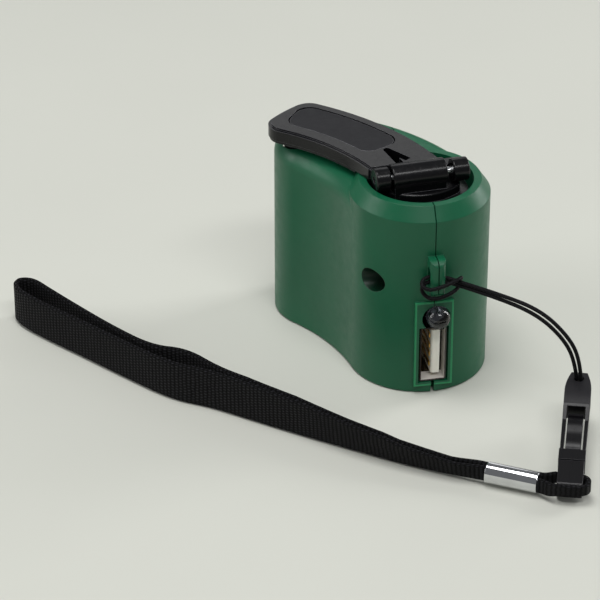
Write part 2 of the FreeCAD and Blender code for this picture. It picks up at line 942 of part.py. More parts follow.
arm_sheet = band(
    "arm_sheet",
    "#arm_inner",
    "#arm_outer",
    "#arm_reach",
    "#arm_low",
    "#arm_top-#arm_step",
)
arm_rounded = rounded("arm_rounded", arm_sheet, size("arm_corner"), upright(25.0))
arm_lid = band(
    "arm_lid",
    "#arm_inner+#arm_inset",
    "#arm_outer-#arm_inset",
    "#arm_reach-#arm_inset",
    "#arm_low",
    "#arm_top",
)
arm_lid_rounded = rounded(
    "arm_lid_rounded",
    arm_lid,
    size("arm_corner") - size("arm_inset"),
    upright(25.0),
)
skirt_out = band(
    "skirt_out",
    "#arm_inner+0.3",
    "#arm_outer-0.3",
    "#arm_reach-0.3",
    "#skirt_low",
    "#arm_low+0.5",
)
skirt_rounded = rounded(
    "skirt_rounded", skirt_out, size("arm_corner") - 0.3, upright(25.0)
)
skirt_in = band(
    "skirt_in",
    "#arm_inner+#skirt_width",
    "#arm_outer-#skirt_width",
    "#arm_reach-#skirt_width",
    "#skirt_low-1",
    "#arm_low",
)
skirt_clear = cylinder(
    "skirt_clear", "#skirt_from", HUB, "#skirt_low-1", "#arm_low"
)
skirt = cut("skirt", skirt_rounded, skirt_in, skirt_clear)
arm_bar = box(
    "arm_bar",
    ("2", "#right_out"),
    ("#hinge_y+#barrel_radius+#hinge_gap", "#hinge_y+#barrel_radius+2.6"),
    ("#arm_low", "#bar_top"),
)
knuckles = []
for side, low, high, top in (
    ("left", "#left_out", "#left_in", "#arm_top-#arm_step"),
    ("right", "#right_in", "#right_out", "#bar_top"),
):
    rod = cylinder(f"knuckle_{side}_rod", "#knuckle_radius", HINGE, low, high, "x")
    knuckles.append(rounded(f"knuckle_{side}", rod, 0.35, round_edge))
    knuckles.append(
        box(
            f"knuckle_{side}_root",
            (f"{low}+0.1", f"{high}-0.1"),
            ("#hinge_y", "#hinge_y+#barrel_radius+#hinge_gap+0.6"),
            ("#arm_low", top),
        )
    )
arm_hinge = turned("arm_hinge", fuse("arm_hinge_all", arm_bar, *knuckles))
knob_boss = cylinder(
    "knob_boss", "2.6", ("#knob_x", "#knob_y"), "#knob_top+0.15", "#arm_low+0.5"
)


def sector(name, grow, low, high):
    """The capsule-ended panel's plan: a sector of a ring, with rounded corners."""
    outer = doc.addObject("Part::Cylinder", name + "_outer")
    bind(outer, "Radius", f"#inlay_outer+{grow}")
    bind(outer, "Height", f"({high})-({low})")
    outer.Placement = FreeCAD.Placement(
        FreeCAD.Vector(), FreeCAD.Rotation(FreeCAD.Vector(0, 0, 1), 10)
    )
    bind(outer, "Angle", f"#inlay_sweep+2*{grow}*1.1")
    bind(outer, "Placement.Rotation.Angle", f"#inlay_start-{grow}*1.1")
    place(outer, *CURVE, low)
    inner = cylinder(
        name + "_inner", f"#inlay_inner-{grow}", CURVE, f"({low})-1", f"({high})+1"
    )
    return rounded(
        name,
        cut(name + "_cut", outer, inner),
        size("inlay_corner"),
        upright(5.0),
    )


inlay_room = sector("inlay_room", "#groove", "#arm_top-#inlay_depth", "60")
slot_end = cylinder("slot_end", "0.85", ("-5.4", "7.4"), "#skirt_low-1", "60")
slot_run = doc.addObject("Part::Box", "slot_run")
slot_run.Length = 6.0
slot_run.Width = 1.7
bind(slot_run, "Height", "60-#skirt_low")
slot_turn = math.degrees(math.atan2(-3.8, 2.6))
slot_run.Placement = FreeCAD.Placement(
    FreeCAD.Vector(), FreeCAD.Rotation(FreeCAD.Vector(0, 0, 1), slot_turn)
)
slot_off = FreeCAD.Rotation(FreeCAD.Vector(0, 0, 1), slot_turn).multVec(
    FreeCAD.Vector(0, -0.85, 0)
)
place(slot_run, str(-5.4 + slot_off.x), str(7.4 + slot_off.y), "#skirt_low-1")
slot_wide = doc.addObject("Part::Box", "slot_wide")
slot_wide.Length = 6.4
slot_wide.Width = 1.7
bind(slot_wide, "Height", "60-#skirt_low")
wide_turn = math.degrees(math.atan2(-4.8, 1.0))
slot_wide.Placement = FreeCAD.Placement(
    FreeCAD.Vector(), FreeCAD.Rotation(FreeCAD.Vector(0, 0, 1), wide_turn)
)
wide_off = FreeCAD.Rotation(FreeCAD.Vector(0, 0, 1), wide_turn).multVec(
    FreeCAD.Vector(0, -0.85, 0)
)
place(slot_wide, str(-5.4 + wide_off.x), str(7.4 + wide_off.y), "#skirt_low-1")
pin_hole = turned(
    "pin_hole", cylinder("pin_hole_rod", "#pin_radius", HINGE, "-20", "20", "x")
)
knob_hole = cylinder(
    "knob_hole",
    "1.4",
    ("#knob_x", "#knob_y"),
    "#knob_top-1",
    "#arm_top-#inlay_depth",
)
barrel_room_rod = cylinder(
    "barrel_room_rod",
    "#barrel_radius+#hinge_gap-0.05",
    HINGE,
    "#left_in",
    "#right_in",
    "x",
)
barrel_room = turned("barrel_room", barrel_room_rod)
part(
    "crank_arm",
    cut(
        "crank_arm_cut",
        fuse(
            "crank_arm_body",
            arm_rounded,
            arm_lid_rounded,
            skirt,
            arm_hinge,
            knob_boss,
        ),
        inlay_room,
        slot_end,
        slot_run,
        slot_wide,
        pin_hole,
        knob_hole,
        barrel_room,
    ),
)
part(
    "arm_inlay",
    sector("arm_inlay_panel", "0", "#arm_top-#inlay_depth", "#arm_top-#inlay_drop"),
)
pin_rod = cylinder(
    "pin_rod", "#pin_radius", HINGE, "#left_out+0.3", "#right_out-0.3", "x"
)
part("hinge_pin", turned("hinge_pin_turned", pin_rod))

# Knob that turns on its screw.
KNOB = ("#knob_x", "#knob_y")
knob_cone = cone(
    "knob_cone",
    "#knob_low_radius",
    "#knob_top_radius",
    KNOB,
    "#knob_low",
    "#knob_top",
)


def knob_edge(edge):
    return at_height(size("knob_low"))(edge)


knob_round = rounded("knob_round", knob_cone, 0.6, knob_edge)
knob_bore = cylinder("knob_bore", "1.45", KNOB, "#knob_low-1", "#knob_top+1")
knob_room = cylinder("knob_room", "2.75", KNOB, "#knob_low-1", "#knob_low+2")
part("crank_knob", cut("crank_knob_cut", knob_round, knob_bore, knob_room))
knob_screw_head = cylinder(
    "knob_screw_head", "2.4", KNOB, "#knob_low+0.4", "#knob_low+1.7"
)
knob_screw_body = cylinder(
    "knob_screw_body", "1.4", KNOB, "#knob_low+1.5", "#arm_top-#inlay_depth"
)
part("knob_screw", fuse("knob_screw_all", knob_screw_head, knob_screw_body))

# Board and USB socket behind the bezel.
part(
    "circuit_board",
    box(
        "circuit_board_sheet",
        ("#board_back", "#board_face"),
        (board_front, "#board_rear"),
        ("#board_low", "#board_high"),
    ),
)
shell_out = box(
    "shell_out",
    ("-#shell_half", "#shell_half"),
    ("#shell_front", "#shell_rear"),
    ("#shell_low", "#shell_high"),
)


def shell_edge(edge):
    b = edge.BoundBox
    return b.XLength < 1e-4 and b.ZLength < 1e-4


shell_round = rounded("shell_round", shell_out, 0.5, shell_edge)
shell_in = box(
    "shell_in",
    ("-#shell_half+#shell_sheet", "#shell_half-#shell_sheet"),
    ("#shell_front-1", "#shell_rear-#shell_sheet"),
    ("#shell_low+#shell_sheet", "#shell_high-#shell_sheet"),
)
part("usb_shell", cut("usb_shell_cut", shell_round, shell_in))
tongue_block = box(
    "tongue_block",
    ("#tongue_low", "#tongue_high"),
    ("#shell_front+0.9", "#shell_rear-3"),
    ("#shell_low+1.3", "#shell_high-1.3"),
)


def tongue_edge(edge):
    b = edge.BoundBox
    on_side = abs(b.XMin - size("tongue_low")) + abs(b.XMax - size("tongue_low"))
    front = size("shell_front") + 0.9
    return on_side < 1e-4 and abs(b.YMin - front) + abs(b.YMax - front) < 1e-4


tongue = rounded("tongue", tongue_block, size("tongue_bevel"), tongue_edge)
insulator = box(
    "insulator",
    ("-#shell_half+#shell_sheet", "#shell_half-#shell_sheet"),
    ("#shell_rear-3.2", "#shell_rear-#shell_sheet"),
    ("#shell_low+#shell_sheet", "#shell_high-#shell_sheet"),
)
part("usb_insulator", fuse("usb_insulator_all", tongue, insulator))
contacts = []
middle = "(#shell_low+#shell_high)/2"
for number, offset in enumerate((-3.5, -1.0, 1.0, 3.5)):
    contacts.append(
        box(
            f"contact_{number}",
            ("#tongue_low-0.2", "#tongue_low"),
            ("#shell_front+1.8", "#shell_rear-3.2"),
            (f"{middle}+{offset}-0.5", f"{middle}+{offset}+0.5"),
        )
    )
contact_group = doc.addObject("Part::Compound", "contact_group")
contact_group.Links = contacts
part("usb_contacts", contact_group)

# LED: flanged body with a domed nose, and its two leads.
LED = ("#lamp_x", "(#shell_high+#lamp_gap+#led_radius)")
led_nose = doc.addObject("Part::Sphere", "led_nose")
bind(led_nose, "Radius", "#led_radius")
place(led_nose, LED[0], "-#bezel_front-#lamp_out", LED[1])
led_body = cylinder(
    "led_body",
    "#led_radius",
    LED,
    "-#bezel_front-#lamp_out",
    "-#bezel_front+5.8",
    "y",
)
led_ring = cylinder(
    "led_ring",
    "#led_radius+0.35",
    LED,
    "-#bezel_front+4.8",
    "-#bezel_front+5.8",
    "y",
)
led_flat = box(
    "led_flat",
    ("-10", "10"),
    ("-#bezel_front+4", "-#bezel_front+7"),
    ("#shell_low", "#shell_high+#lamp_gap"),
)
led_flange = cut("led_flange", led_ring, led_flat)
part("led_lamp", fuse("led_lamp_all", led_nose, led_body, led_flange))
leads = doc.addObject("Part::Compound", "lead_group")
leads.Links = [
    box(
        f"lead_{n}",
        ("#board_face", "#lamp_x+0.25"),
        ("-#bezel_front+5.8", "-#bezel_front+6.3"),
        (f"{LED[1]}+{offset}-0.25", f"{LED[1]}+{offset}+0.25"),
    )
    for n, offset in enumerate((-1.27, 1.27))
]
part("led_leads", leads)

# Parts on the board's back: smoothing capacitor, regulator, coil and four diodes.
part(
    "capacitor",
    cylinder("capacitor_can", "2.5", ("#board_back-2.5", "-2.5"), "4", "11"),
)
part(
    "regulator_chip",
    box(
        "regulator_case", ("#board_back-1.5", "#board_back"), ("1", "5"), ("13", "18")
    ),
)
part(
    "choke_coil",
    cylinder("choke", "3", ("-2", "16"), "#board_back-3", "#board_back", "x"),
)
diodes = doc.addObject("Part::Compound", "diode_group")
diodes.Links = [
    box(
        f"diode_{n}",
        ("#board_back-1.2", "#board_back"),
        ("2.2", "4.2"),
        (f"{3.2 + 2.4 * n}", f"{4.6 + 2.4 * n}"),
    )
    for n in range(4)
]
part("diodes", diodes)

# Lanyard. A route is a list of corners, run along straight and rounded at each corner by a tangent arc.
def bends(corners):
    """The start, middle, end and centre of the arc at each inner corner of a route."""
    found = []
    for before, corner, after in zip(corners, corners[1:], corners[2:]):
        back = (before - corner) / (before - corner).Length
        ahead = (after - corner) / (after - corner).Length
        half = back.getAngle(ahead) / 2
        reach = 0.45 * min((before - corner).Length, (after - corner).Length)
        middle = (back + ahead) / (back + ahead).Length
        centre = corner + middle * (reach / math.cos(half))
        radius = reach * math.tan(half)
        found.append(
            (
                corner + back * reach,
                centre - middle * radius,
                corner + ahead * reach,
                centre,
            )
        )
    return found


def route_edges(points, side=0.0):
    """The edges of a route. side shifts a flat one to its left, for the face of a ribbon."""
    corners = [FreeCAD.Vector(*point) for point in points]

    def shifted(point, along):
        return point + FreeCAD.Vector(-along.y, along.x, 0) * (side / along.Length)

    arcs = bends(corners)
    here = shifted(corners[0], corners[1] - corners[0])
    edges = []
    for number, (start, middle, end, centre) in enumerate(arcs, start=1):
        before = corners[number] - corners[number - 1]
        after = corners[number + 1] - corners[number]
        start_at = shifted(start, before)
        end_at = shifted(end, after)
        out = middle - centre
        middle_at = centre + out * ((start_at - centre).Length / out.Length)
        edges.append(Part.makeLine(here, start_at))
        edges.append(Part.Arc(start_at, middle_at, end_at).toShape())
        here = end_at
    last = shifted(corners[-1], corners[-1] - corners[-2])
    edges.append(Part.makeLine(here, last))
    return edges


def tube(name, points):
    """A closed tube of the cord's radius along a route."""
    spine = doc.addObject("Part::Feature", name + "_route")
    spine.Shape = Part.Wire(route_edges(points))
    ring = doc.addObject("Part::Circle", name + "_ring")
    bind(ring, "Radius", "#cord_radius")
    start = FreeCAD.Vector(*points[0])
    along = FreeCAD.Vector(*points[1]) - start
    ring.Placement = FreeCAD.Placement(
        start, FreeCAD.Rotation(FreeCAD.Vector(0, 0, 1), along)
    )
    made = doc.addObject("Part::Sweep", name)
    made.Sections = [ring]
    made.Spine = (spine, [])
    made.Solid = True
    made.Frenet = False
    return made


def ribbon(name, points, low, high):
    """Webbing on edge: its thickness in plan along a route, raised from low to high."""
    half = size("strap_thick") / 2
    left = route_edges(points, half)
    right = route_edges(points, -half)
    ends = [
        Part.makeLine(left[0].Vertexes[0].Point, right[0].Vertexes[0].Point),
        Part.makeLine(left[-1].Vertexes[-1].Point, right[-1].Vertexes[-1].Point),
    ]
    plan = doc.addObject("Part::Feature", name + "_plan")
    plan.Shape = Part.Face(Part.Wire(Part.__sortEdges__(left + right + ends)))
    bind(plan, "Placement.Base.z", low)
    made = doc.addObject("Part::Extrusion", name)
    made.Base = plan
    made.DirMode = "Custom"
    made.Dir = FreeCAD.Vector(0, 0, 1)
    made.Solid = True
    bind(made, "LengthFwd", f"({high})-({low})")
    return made


HITCH = (
    (4.3, -17.3, 28.15),
    (1.9, -16.3, 29.0),
    (-2.4, -16.2, 29.5),
    (-3.8, -17.5, 28.4),
    (-2.3, -19.0, 27.6),
    (0.8, -19.1, 28.3),
    (3.4, -18.7, 29.1),
    (5.0, -17.7, 29.2),
    (5.2, -16.2, 28.3),
    (5.0, -16.3, 26.7),
    (3.9, -17.4, 26.1),
    (2.0, -17.9, 25.4),
    (-0.2, -18.1, 24.9),
    (-2.2, -17.8, 25.1),
    (-3.5, -16.8, 26.6),
    (-2.4, -16.2, 28.3),
    (1.9, -16.3, 28.0),
    (4.3, -17.3, 27.25),
)
CORD_UPPER = (
    (4.45, -17.44, 28.15),
    (11.33, -23.85, 28.12),
    (18.75, -30.6, 27.13),
    (24.39, -33.22, 21.22),
    (26.6, -33.56, 15.61),
    (27.0, -33.65, 11.0),
)
CORD_LOWER = (
    (4.45, -17.44, 27.25),
    (11.13, -23.65, 27.17),
    (18.15, -30.2, 25.93),
    (23.39, -32.42, 20.62),
    (25.65, -32.91, 15.41),
    (26.25, -33.1, 11.0),
)
part("lanyard_hitch", tube("hitch", HITCH))
part("cord_upper", tube("cord_upper_strand", CORD_UPPER))
part("cord_lower", tube("cord_lower_strand", CORD_LOWER))


# Buckle: a socket with two rails and a bridge, and the catch whose sprung prong runs through it.
def seat_buckle(obj):
    bind(obj, "Placement.Base.x", "#buckle_x")
    bind(obj, "Placement.Base.y", "#buckle_y")
    bind(obj, "Placement.Base.z", "#buckle_z")
    turn = FreeCAD.Rotation(FreeCAD.Vector(0, 0, 1), size("buckle_turn"))
    pitch = FreeCAD.Rotation(FreeCAD.Vector(1, 0, 0), size("buckle_pitch"))
    obj.Placement = FreeCAD.Placement(obj.Placement.Base, turn.multiply(pitch))
    return obj


def prism(name, edges, height, along):
    """A face from edges, raised by height along a direction."""
    face = doc.addObject("Part::Feature", name + "_face")
    face.Shape = Part.Face(Part.Wire(edges))
    made = doc.addObject("Part::Extrusion", name)
    made.Base = face
    made.DirMode = "Custom"
    made.Dir = FreeCAD.Vector(*along)
    made.Solid = True
    bind(made, "LengthFwd", height)
    return made


def curve_through(*points):
    curve = Part.BSplineCurve()
    curve.interpolate([FreeCAD.Vector(*p) for p in points])
    return curve.toShape()


half = size("buckle_half")
thick = size("buckle_thick")
shoulder = size("socket_shoulder")
bridge_to = size("bridge_to")
tip = 0.6 * half
low = -thick - 1
neck_end = 6.0


def socket_flank(side):
    """One edge of the socket's plan: a swelling curve at the tip, then the straight rail."""
    shoulder_point = FreeCAD.Vector(side * half, neck_end, low)
    return [
        curve_through(
            (side * tip, 0, low),
            (side * 0.87 * half, 2.6, low),
            (side * half, neck_end, low),
        ),
        Part.makeLine(
            shoulder_point, FreeCAD.Vector(side * 0.95 * half, bridge_to, low)
        ),
    ]


def straight(*ends):
    return Part.makeLine(*[FreeCAD.Vector(*end) for end in ends])


socket_plan = prism(
    "socket_plan",
    Part.__sortEdges__(
        socket_flank(1)
        + socket_flank(-1)
        + [
            straight((-tip, 0, low), (tip, 0, low)),
            straight(
                (-0.95 * half, bridge_to, low),
                (0.95 * half, bridge_to, low),
            ),
        ]
    ),
    "2*#buckle_thick+2",
    (0, 0, 1),
)
wide = -half - 1
crown = curve_through(
    (wide, 0, 0.6 * thick),
    (wide, 4, 0.92 * thick),
    (wide, shoulder - 1, thick),
    (wide, shoulder + 0.6, 0.75 * thick),
    (wide, shoulder + 3, 0.3 * thick),
)
keel = curve_through(
    (wide, 0, -0.6 * thick),
    (wide, 4, -0.92 * thick),
    (wide, shoulder, -thick),
)
socket_side = prism(
    "socket_side",
    Part.__sortEdges__(
        [
            crown,
            keel,
            straight((wide, 0, -0.6 * thick), (wide, 0, 0.6 * thick)),
            straight(
                (wide, shoulder + 3, 0.3 * thick), (wide, bridge_to, 0.3 * thick)
            ),
            straight((wide, shoulder, -thick), (wide, bridge_to, -thick)),
            straight((wide, bridge_to, -thick), (wide, bridge_to, 0.3 * thick)),
        ]
    ),
    "2*#buckle_half+2",
    (1, 0, 0),
)
bridge = box(
    "bridge",
    ("-#buckle_half", "#buckle_half"),
    ("#bridge_from", "#bridge_to"),
    ("-#buckle_thick", "#buckle_thick"),
)
prong_room = "#prong_half+#buckle_gap"
prong_window = box(
    "prong_window",
    (f"-({prong_room})", prong_room),
    ("#socket_shoulder+0.2", "#bridge_from"),
    ("-#buckle_thick-1", "#buckle_thick+1"),
)
prong_way = box(
    "prong_way",
    (f"-({prong_room})", prong_room),
    ("#socket_shoulder+0.2", "#bridge_to+1"),
    ("#prong_low-#buckle_gap", "#buckle_thick-0.6"),
)
cord_way = cylinder("cord_way", "1.12", ("0", "2"), "-9", "9")
buckle_socket = cut(
    "buckle_socket_cut",
    fuse("buckle_socket_body", common("socket_form", socket_plan, socket_side), bridge),
    prong_window,
    prong_way,
    cord_way,
)
part("buckle_socket", seat_buckle(buckle_socket))

catch_block = box(
    "catch_block",
    ("-#buckle_half+0.15", "#buckle_half-0.15"),
    ("#catch_from", "#catch_to"),
    ("-#buckle_thick", "#buckle_thick"),
)


def catch_edge(edge):
    b = edge.BoundBox
    return abs(b.YMin - size("catch_to")) < 1e-4 and b.YLength < 1e-4


catch_round = rounded("catch_round", catch_block, 0.7, catch_edge)
prong = box(
    "prong",
    ("-#prong_half", "#prong_half"),
    ("#prong_tip", "#catch_from+1"),
    ("#prong_low", "#prong_high"),
)
pad_low = size("prong_high") - 0.3
pad_from = size("prong_tip")
pad = prism(
    "prong_pad",
    [
        curve_through(
            (-size("prong_half"), pad_from, pad_low),
            (-size("prong_half"), pad_from + 1.6, pad_low + 0.75),
            (-size("prong_half"), pad_from + 3.4, pad_low + 1.05),
            (-size("prong_half"), pad_from + 5.6, pad_low + 0.7),
            (-size("prong_half"), pad_from + 9.6, pad_low + 0.3),
            (-size("prong_half"), pad_from + 10.0, pad_low),
        ),
        Part.makeLine(
            FreeCAD.Vector(-size("prong_half"), pad_from + 10.0, pad_low),
            FreeCAD.Vector(-size("prong_half"), pad_from, pad_low),
        ),
    ],
    "2*#prong_half",
    (1, 0, 0),
)
strap_slot = box(
    "strap_slot",
    ("-#buckle_half-1", "#buckle_half+1"),
    ("#catch_to-4.75", "#catch_to-2.85"),
    ("-#buckle_thick+0.5", "#buckle_thick-0.5"),
)
buckle_catch = cut(
    "buckle_catch_cut",
    fuse("buckle_catch_body", catch_round, prong, pad),
    strap_slot,
)
part("buckle_catch", seat_buckle(buckle_catch))

# Crimp: sheet folded round both strands of the strap, its seam on the far side.
crimp_out = box(
    "crimp_out",
    ("-#crimp_length/2", "#crimp_length/2"),
    ("-#crimp_thick/2", "#crimp_thick/2"),
    ("0", "#crimp_height"),
)


def crimp_edge(edge):
    b = edge.BoundBox
    return b.YLength < 1e-4 and b.ZLength < 1e-4


crimp_round = rounded("crimp_round", crimp_out, 1.3, crimp_edge)
crimp_in = box(
    "crimp_in",
    ("-#crimp_length", "#crimp_length"),
    ("-#crimp_thick/2+#crimp_sheet", "#crimp_thick/2-#crimp_sheet"),
    ("#crimp_sheet", "#crimp_height-#crimp_sheet"),
)
crimp_room = rounded("crimp_room", crimp_in, 0.8, crimp_edge)
crimp_seam = box(
    "crimp_seam",
    ("-#crimp_length", "#crimp_length"),
    ("0.9", "1.1"),
    ("#crimp_height-#crimp_sheet-1", "#crimp_height+1"),
)
crimp = cut("crimp_cut", crimp_round, crimp_room, crimp_seam)
bind(crimp, "Placement.Base.x", "#crimp_x")
bind(crimp, "Placement.Base.y", "#crimp_y")
crimp.Placement = FreeCAD.Placement(
    crimp.Placement.Base, FreeCAD.Rotation(FreeCAD.Vector(0, 0, 1), size("crimp_turn"))
)
part("crimp_sleeve", crimp)

# Wrist strap: the long loop, which lies folded flat on itself, and the short one through the catch.
STRAP_LOOP = (
    (7.0, -54.1),
    (1.5, -50.6),
    (-5.5, -45.7),
    (-12.7, -40.2),
    (-21.7, -33.2),
    (-30.9, -25.8),
    (-40.2, -17.8),
    (-47.5, -11.4),
    (-54.8, -7.0),
    (-63.6, 4.2),
    (-70.4, 13.2),
    (-77.8, 22.6),
    (-82.6, 29.6),
    (-83.0, 34.4),
    (-78.8, 34.0),
    (-75.6, 28.2),
    (-69.3, 17.7),
    (-64.2, 9.6),
    (-57.6, 0.6),
    (-50.6, -2.2),
    (-45.4, -10.4),
    (-39.3, -16.5),
    (-30.1, -24.5),
    (-20.9, -31.9),
    (-11.9, -38.9),
    (-4.6, -44.4),
    (2.4, -49.4),
    (7.8, -52.8),
)
STRAP_END = (
    (7.3, -52.5),
    (13.1, -56.1),
    (15.9, -56.4),
    (21.9, -58.5),
    (20.5, -62.8),
    (13.9, -60.6),
    (12.3, -57.5),
    (6.5, -53.8),
)
strap_loop = ribbon("strap_loop", STRAP_LOOP, "0.1", "#strap_height+0.1")
strap_end = ribbon("strap_end", STRAP_END, "2.3", "4.4")
slope_slab = box(
    "slope_slab", ("-36", "24"), ("-80", "80"), ("#strap_height+0.2", "#strap_height+30")
)
slope_slab.Placement = FreeCAD.Placement(
    FreeCAD.Vector(), FreeCAD.Rotation(FreeCAD.Vector(0, 1, 0), size("strap_slope"))
)
wrist_strap = cut(
    "wrist_strap_cut", fuse("wrist_strap_body", strap_loop, strap_end), slope_slab, crimp
)
part("wrist_strap", wrist_strap)

doc.recompute()
for obj in doc.Objects:
    bad = [s for s in obj.State if s in ("Invalid", "Error")]
    if bad:
        raise RuntimeError(f"{obj.Name} {obj.Label}: {bad}")
    shape = getattr(obj, "Shape", None)
    if shape is not None and obj.TypeId.startswith("Part::"):
        if shape.isNull() or not shape.isValid():
            raise RuntimeError(f"{obj.Name} {obj.Label} has a broken shape")
for node, obj in PARTS.items():
    print(node, len(obj.Shape.Solids), round(obj.Shape.Volume, 1))
    obj.Shape.exportStep(f"parts/{node}.step")
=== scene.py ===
"""Hand crank phone charger: finishes, lanyard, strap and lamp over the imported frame."""

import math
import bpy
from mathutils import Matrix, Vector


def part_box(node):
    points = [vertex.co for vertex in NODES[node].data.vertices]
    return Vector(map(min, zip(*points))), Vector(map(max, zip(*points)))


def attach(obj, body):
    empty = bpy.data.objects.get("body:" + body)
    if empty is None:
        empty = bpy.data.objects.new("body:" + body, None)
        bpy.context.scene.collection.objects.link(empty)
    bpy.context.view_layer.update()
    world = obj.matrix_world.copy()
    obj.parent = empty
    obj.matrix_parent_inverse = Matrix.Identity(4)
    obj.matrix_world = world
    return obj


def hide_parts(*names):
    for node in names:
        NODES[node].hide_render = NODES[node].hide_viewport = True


bl_info = {
    "name": "Hand Crank Charger Finishes",
    "version": (1, 0, 0),
    "blender": (4, 2, 0),
    "location": "View3D > Sidebar > Charger",
    "description": "Finishes a hand crank phone charger and models its lamp, cords and strap",
    "category": "Object",
}

import bmesh
import bpy
import numpy as np
from mathutils import Matrix, Vector

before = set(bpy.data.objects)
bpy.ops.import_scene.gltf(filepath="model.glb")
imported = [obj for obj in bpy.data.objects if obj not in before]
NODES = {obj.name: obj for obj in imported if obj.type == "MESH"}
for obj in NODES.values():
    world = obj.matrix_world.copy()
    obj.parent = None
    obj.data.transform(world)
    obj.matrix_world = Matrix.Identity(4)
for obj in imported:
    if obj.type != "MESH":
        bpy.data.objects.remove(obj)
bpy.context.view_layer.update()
MM = 0.001


def linear(hex_colour):
    """The linear RGBA of an sRGB hex colour."""
    values = [int(hex_colour[i : i + 2], 16) / 255 for i in (1, 3, 5)]
    curved = [v / 12.92 if v <= 0.04045 else ((v + 0.055) / 1.055) ** 2.4 for v in values]
    return (*curved, 1.0)


def colour_prop(name, hex_colour, description):
    return bpy.props.FloatVectorProperty(
        name=name,
        description=description,
        subtype="COLOR",
        size=4,
        min=0.0,
        max=1.0,
        default=linear(hex_colour),
    )


def length_prop(name, value, description):
    return bpy.props.FloatProperty(
        name=name, description=description, default=value, min=0.0, unit="LENGTH"
    )


class ChargerColours(bpy.types.PropertyGroup):
    case: colour_prop("Case", "#0f5a3c", "Green ABS of the two case halves")
    crank: colour_prop("Crank", "#0c0c0e", "Black ABS of the crank")
    inlay: colour_prop("Inlay", "#1b1b1e", "Matt black panel in the crank arm")
    webbing: colour_prop("Webbing", "#0c0c0f", "Nylon of the wrist strap")
    cord: colour_prop("Cord", "#0a0a0c", "Nylon of the lanyard cord")
    buckle: colour_prop("Buckle", "#0d0c0f", "Acetal of the buckle")
    tongue: colour_prop("Tongue", "#fffaee", "Moulded tongue of the USB socket")
    floor: colour_prop("Floor", "#cccdc4", "Studio floor")


class ChargerSizes(bpy.types.PropertyGroup):
    cord_diameter: length_prop("Cord diameter", 0.84 * MM, "Each strand of the lanyard")
    braid_pitch: length_prop("Braid pitch", 0.9 * MM, "Length of one crossing of the braid")
    strap_width: length_prop("Strap width", 9.8 * MM, "Webbing from edge to edge")
    strap_thick: length_prop("Strap thickness", 1.05 * MM, "Webbing thickness")
    thread_along: length_prop("Weft pitch", 0.95 * MM, "Spacing of the weft along the webbing")
    thread_across: length_prop("Warp pitch", 0.36 * MM, "Spacing of the warp across the webbing")
    crimp_sheet: length_prop("Crimp sheet", 0.45 * MM, "Thickness of the crimp's sheet metal")


def sizes():
    return bpy.context.scene.charger_sizes


def colours():
    return bpy.context.scene.charger_colours


# Meshes from grids.


def grid_mesh(name, points, uv=None, close=False):
    """A mesh on a grid of points, shape (rows, columns, 3). close joins the last column to the
    first. Rows that shrink to a point are merged, so that the ends are closed."""
    rows, columns = points.shape[:2]
    row = np.arange(rows - 1)[:, None]
    spans = columns if close else columns - 1
    column = np.arange(spans)[None, :]
    following = (column + 1) % columns
    quads = np.stack(
        [
            row * columns + column,
            row * columns + following,
            (row + 1) * columns + following,
            (row + 1) * columns + column,
        ],
        axis=-1,
    ).reshape(-1, 4)
    mesh = bpy.data.meshes.new(name)
    mesh.from_pydata(points.reshape(-1, 3).tolist(), [], quads.tolist())
    if uv is not None:
        layer = mesh.uv_layers.new(name="surface")
        across = np.arange(spans)[None, :]
        down = np.arange(rows - 1)[:, None]
        corners = np.stack(
            [
                uv[down, across],
                uv[down, across + 1],
                uv[down + 1, across + 1],
                uv[down + 1, across],
            ],
            axis=-2,
        )
        layer.data.foreach_set("uv", corners.reshape(-1).astype(np.float32))
    work = bmesh.new()
    work.from_mesh(mesh)
    bmesh.ops.remove_doubles(work, verts=work.verts, dist=1e-7)
    bmesh.ops.recalc_face_normals(work, faces=work.faces)
    work.to_mesh(mesh)
    work.free()
    mesh.polygons.foreach_set("use_smooth", np.ones(len(mesh.polygons), bool))
    mesh.update()
    return mesh


def joined_mesh(name, *meshes):
    """One mesh of several, which it takes the place of."""
    work = bmesh.new()
    for mesh in meshes:
        work.from_mesh(mesh)
        bpy.data.meshes.remove(mesh)
    made = bpy.data.meshes.new(name)
    work.to_mesh(made)
    work.free()
    return made


def piece(name, mesh, body, material, replaced=()):
    """Links a mesh as a piece that rides on a body and stands for the CAD nodes named."""
    made = bpy.data.objects.new(name, mesh)
    bpy.context.scene.collection.objects.link(made)
    mesh.materials.append(material)
    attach(made, body)
    if replaced:
        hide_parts(*replaced)
    return made


def flowing_line(points, steps=24):
    """The points of an order 3 NURBS spline whose control points are given in millimetres."""
    curve = bpy.data.curves.new("route", "CURVE")
    curve.dimensions = "3D"
    curve.resolution_u = steps
    spline = curve.splines.new("NURBS")
    spline.points.add(len(points) - 1)
    for control, point in zip(spline.points, points):
        control.co = (*[value * MM for value in point], 1.0)
    spline.order_u = 3
    spline.use_endpoint_u = True
    carrier = bpy.data.objects.new("route", curve)
    bpy.context.scene.collection.objects.link(carrier)
    bpy.context.view_layer.update()
    mesh = bpy.data.meshes.new_from_object(carrier)
    line = np.zeros(len(mesh.vertices) * 3)
    mesh.vertices.foreach_get("co", line)
    bpy.data.objects.remove(carrier)
    bpy.data.curves.remove(curve)
    bpy.data.meshes.remove(mesh)
    return line.reshape(-1, 3)


def spaced(line, count):
    """The line again at equal steps, and the distance along it of each point."""
    steps = np.linalg.norm(np.diff(line, axis=0), axis=1)
    along = np.concatenate([[0.0], np.cumsum(steps)])
    at = np.linspace(0.0, along[-1], count)
    return np.stack([np.interp(at, along, line[:, k]) for k in range(3)], axis=1), at


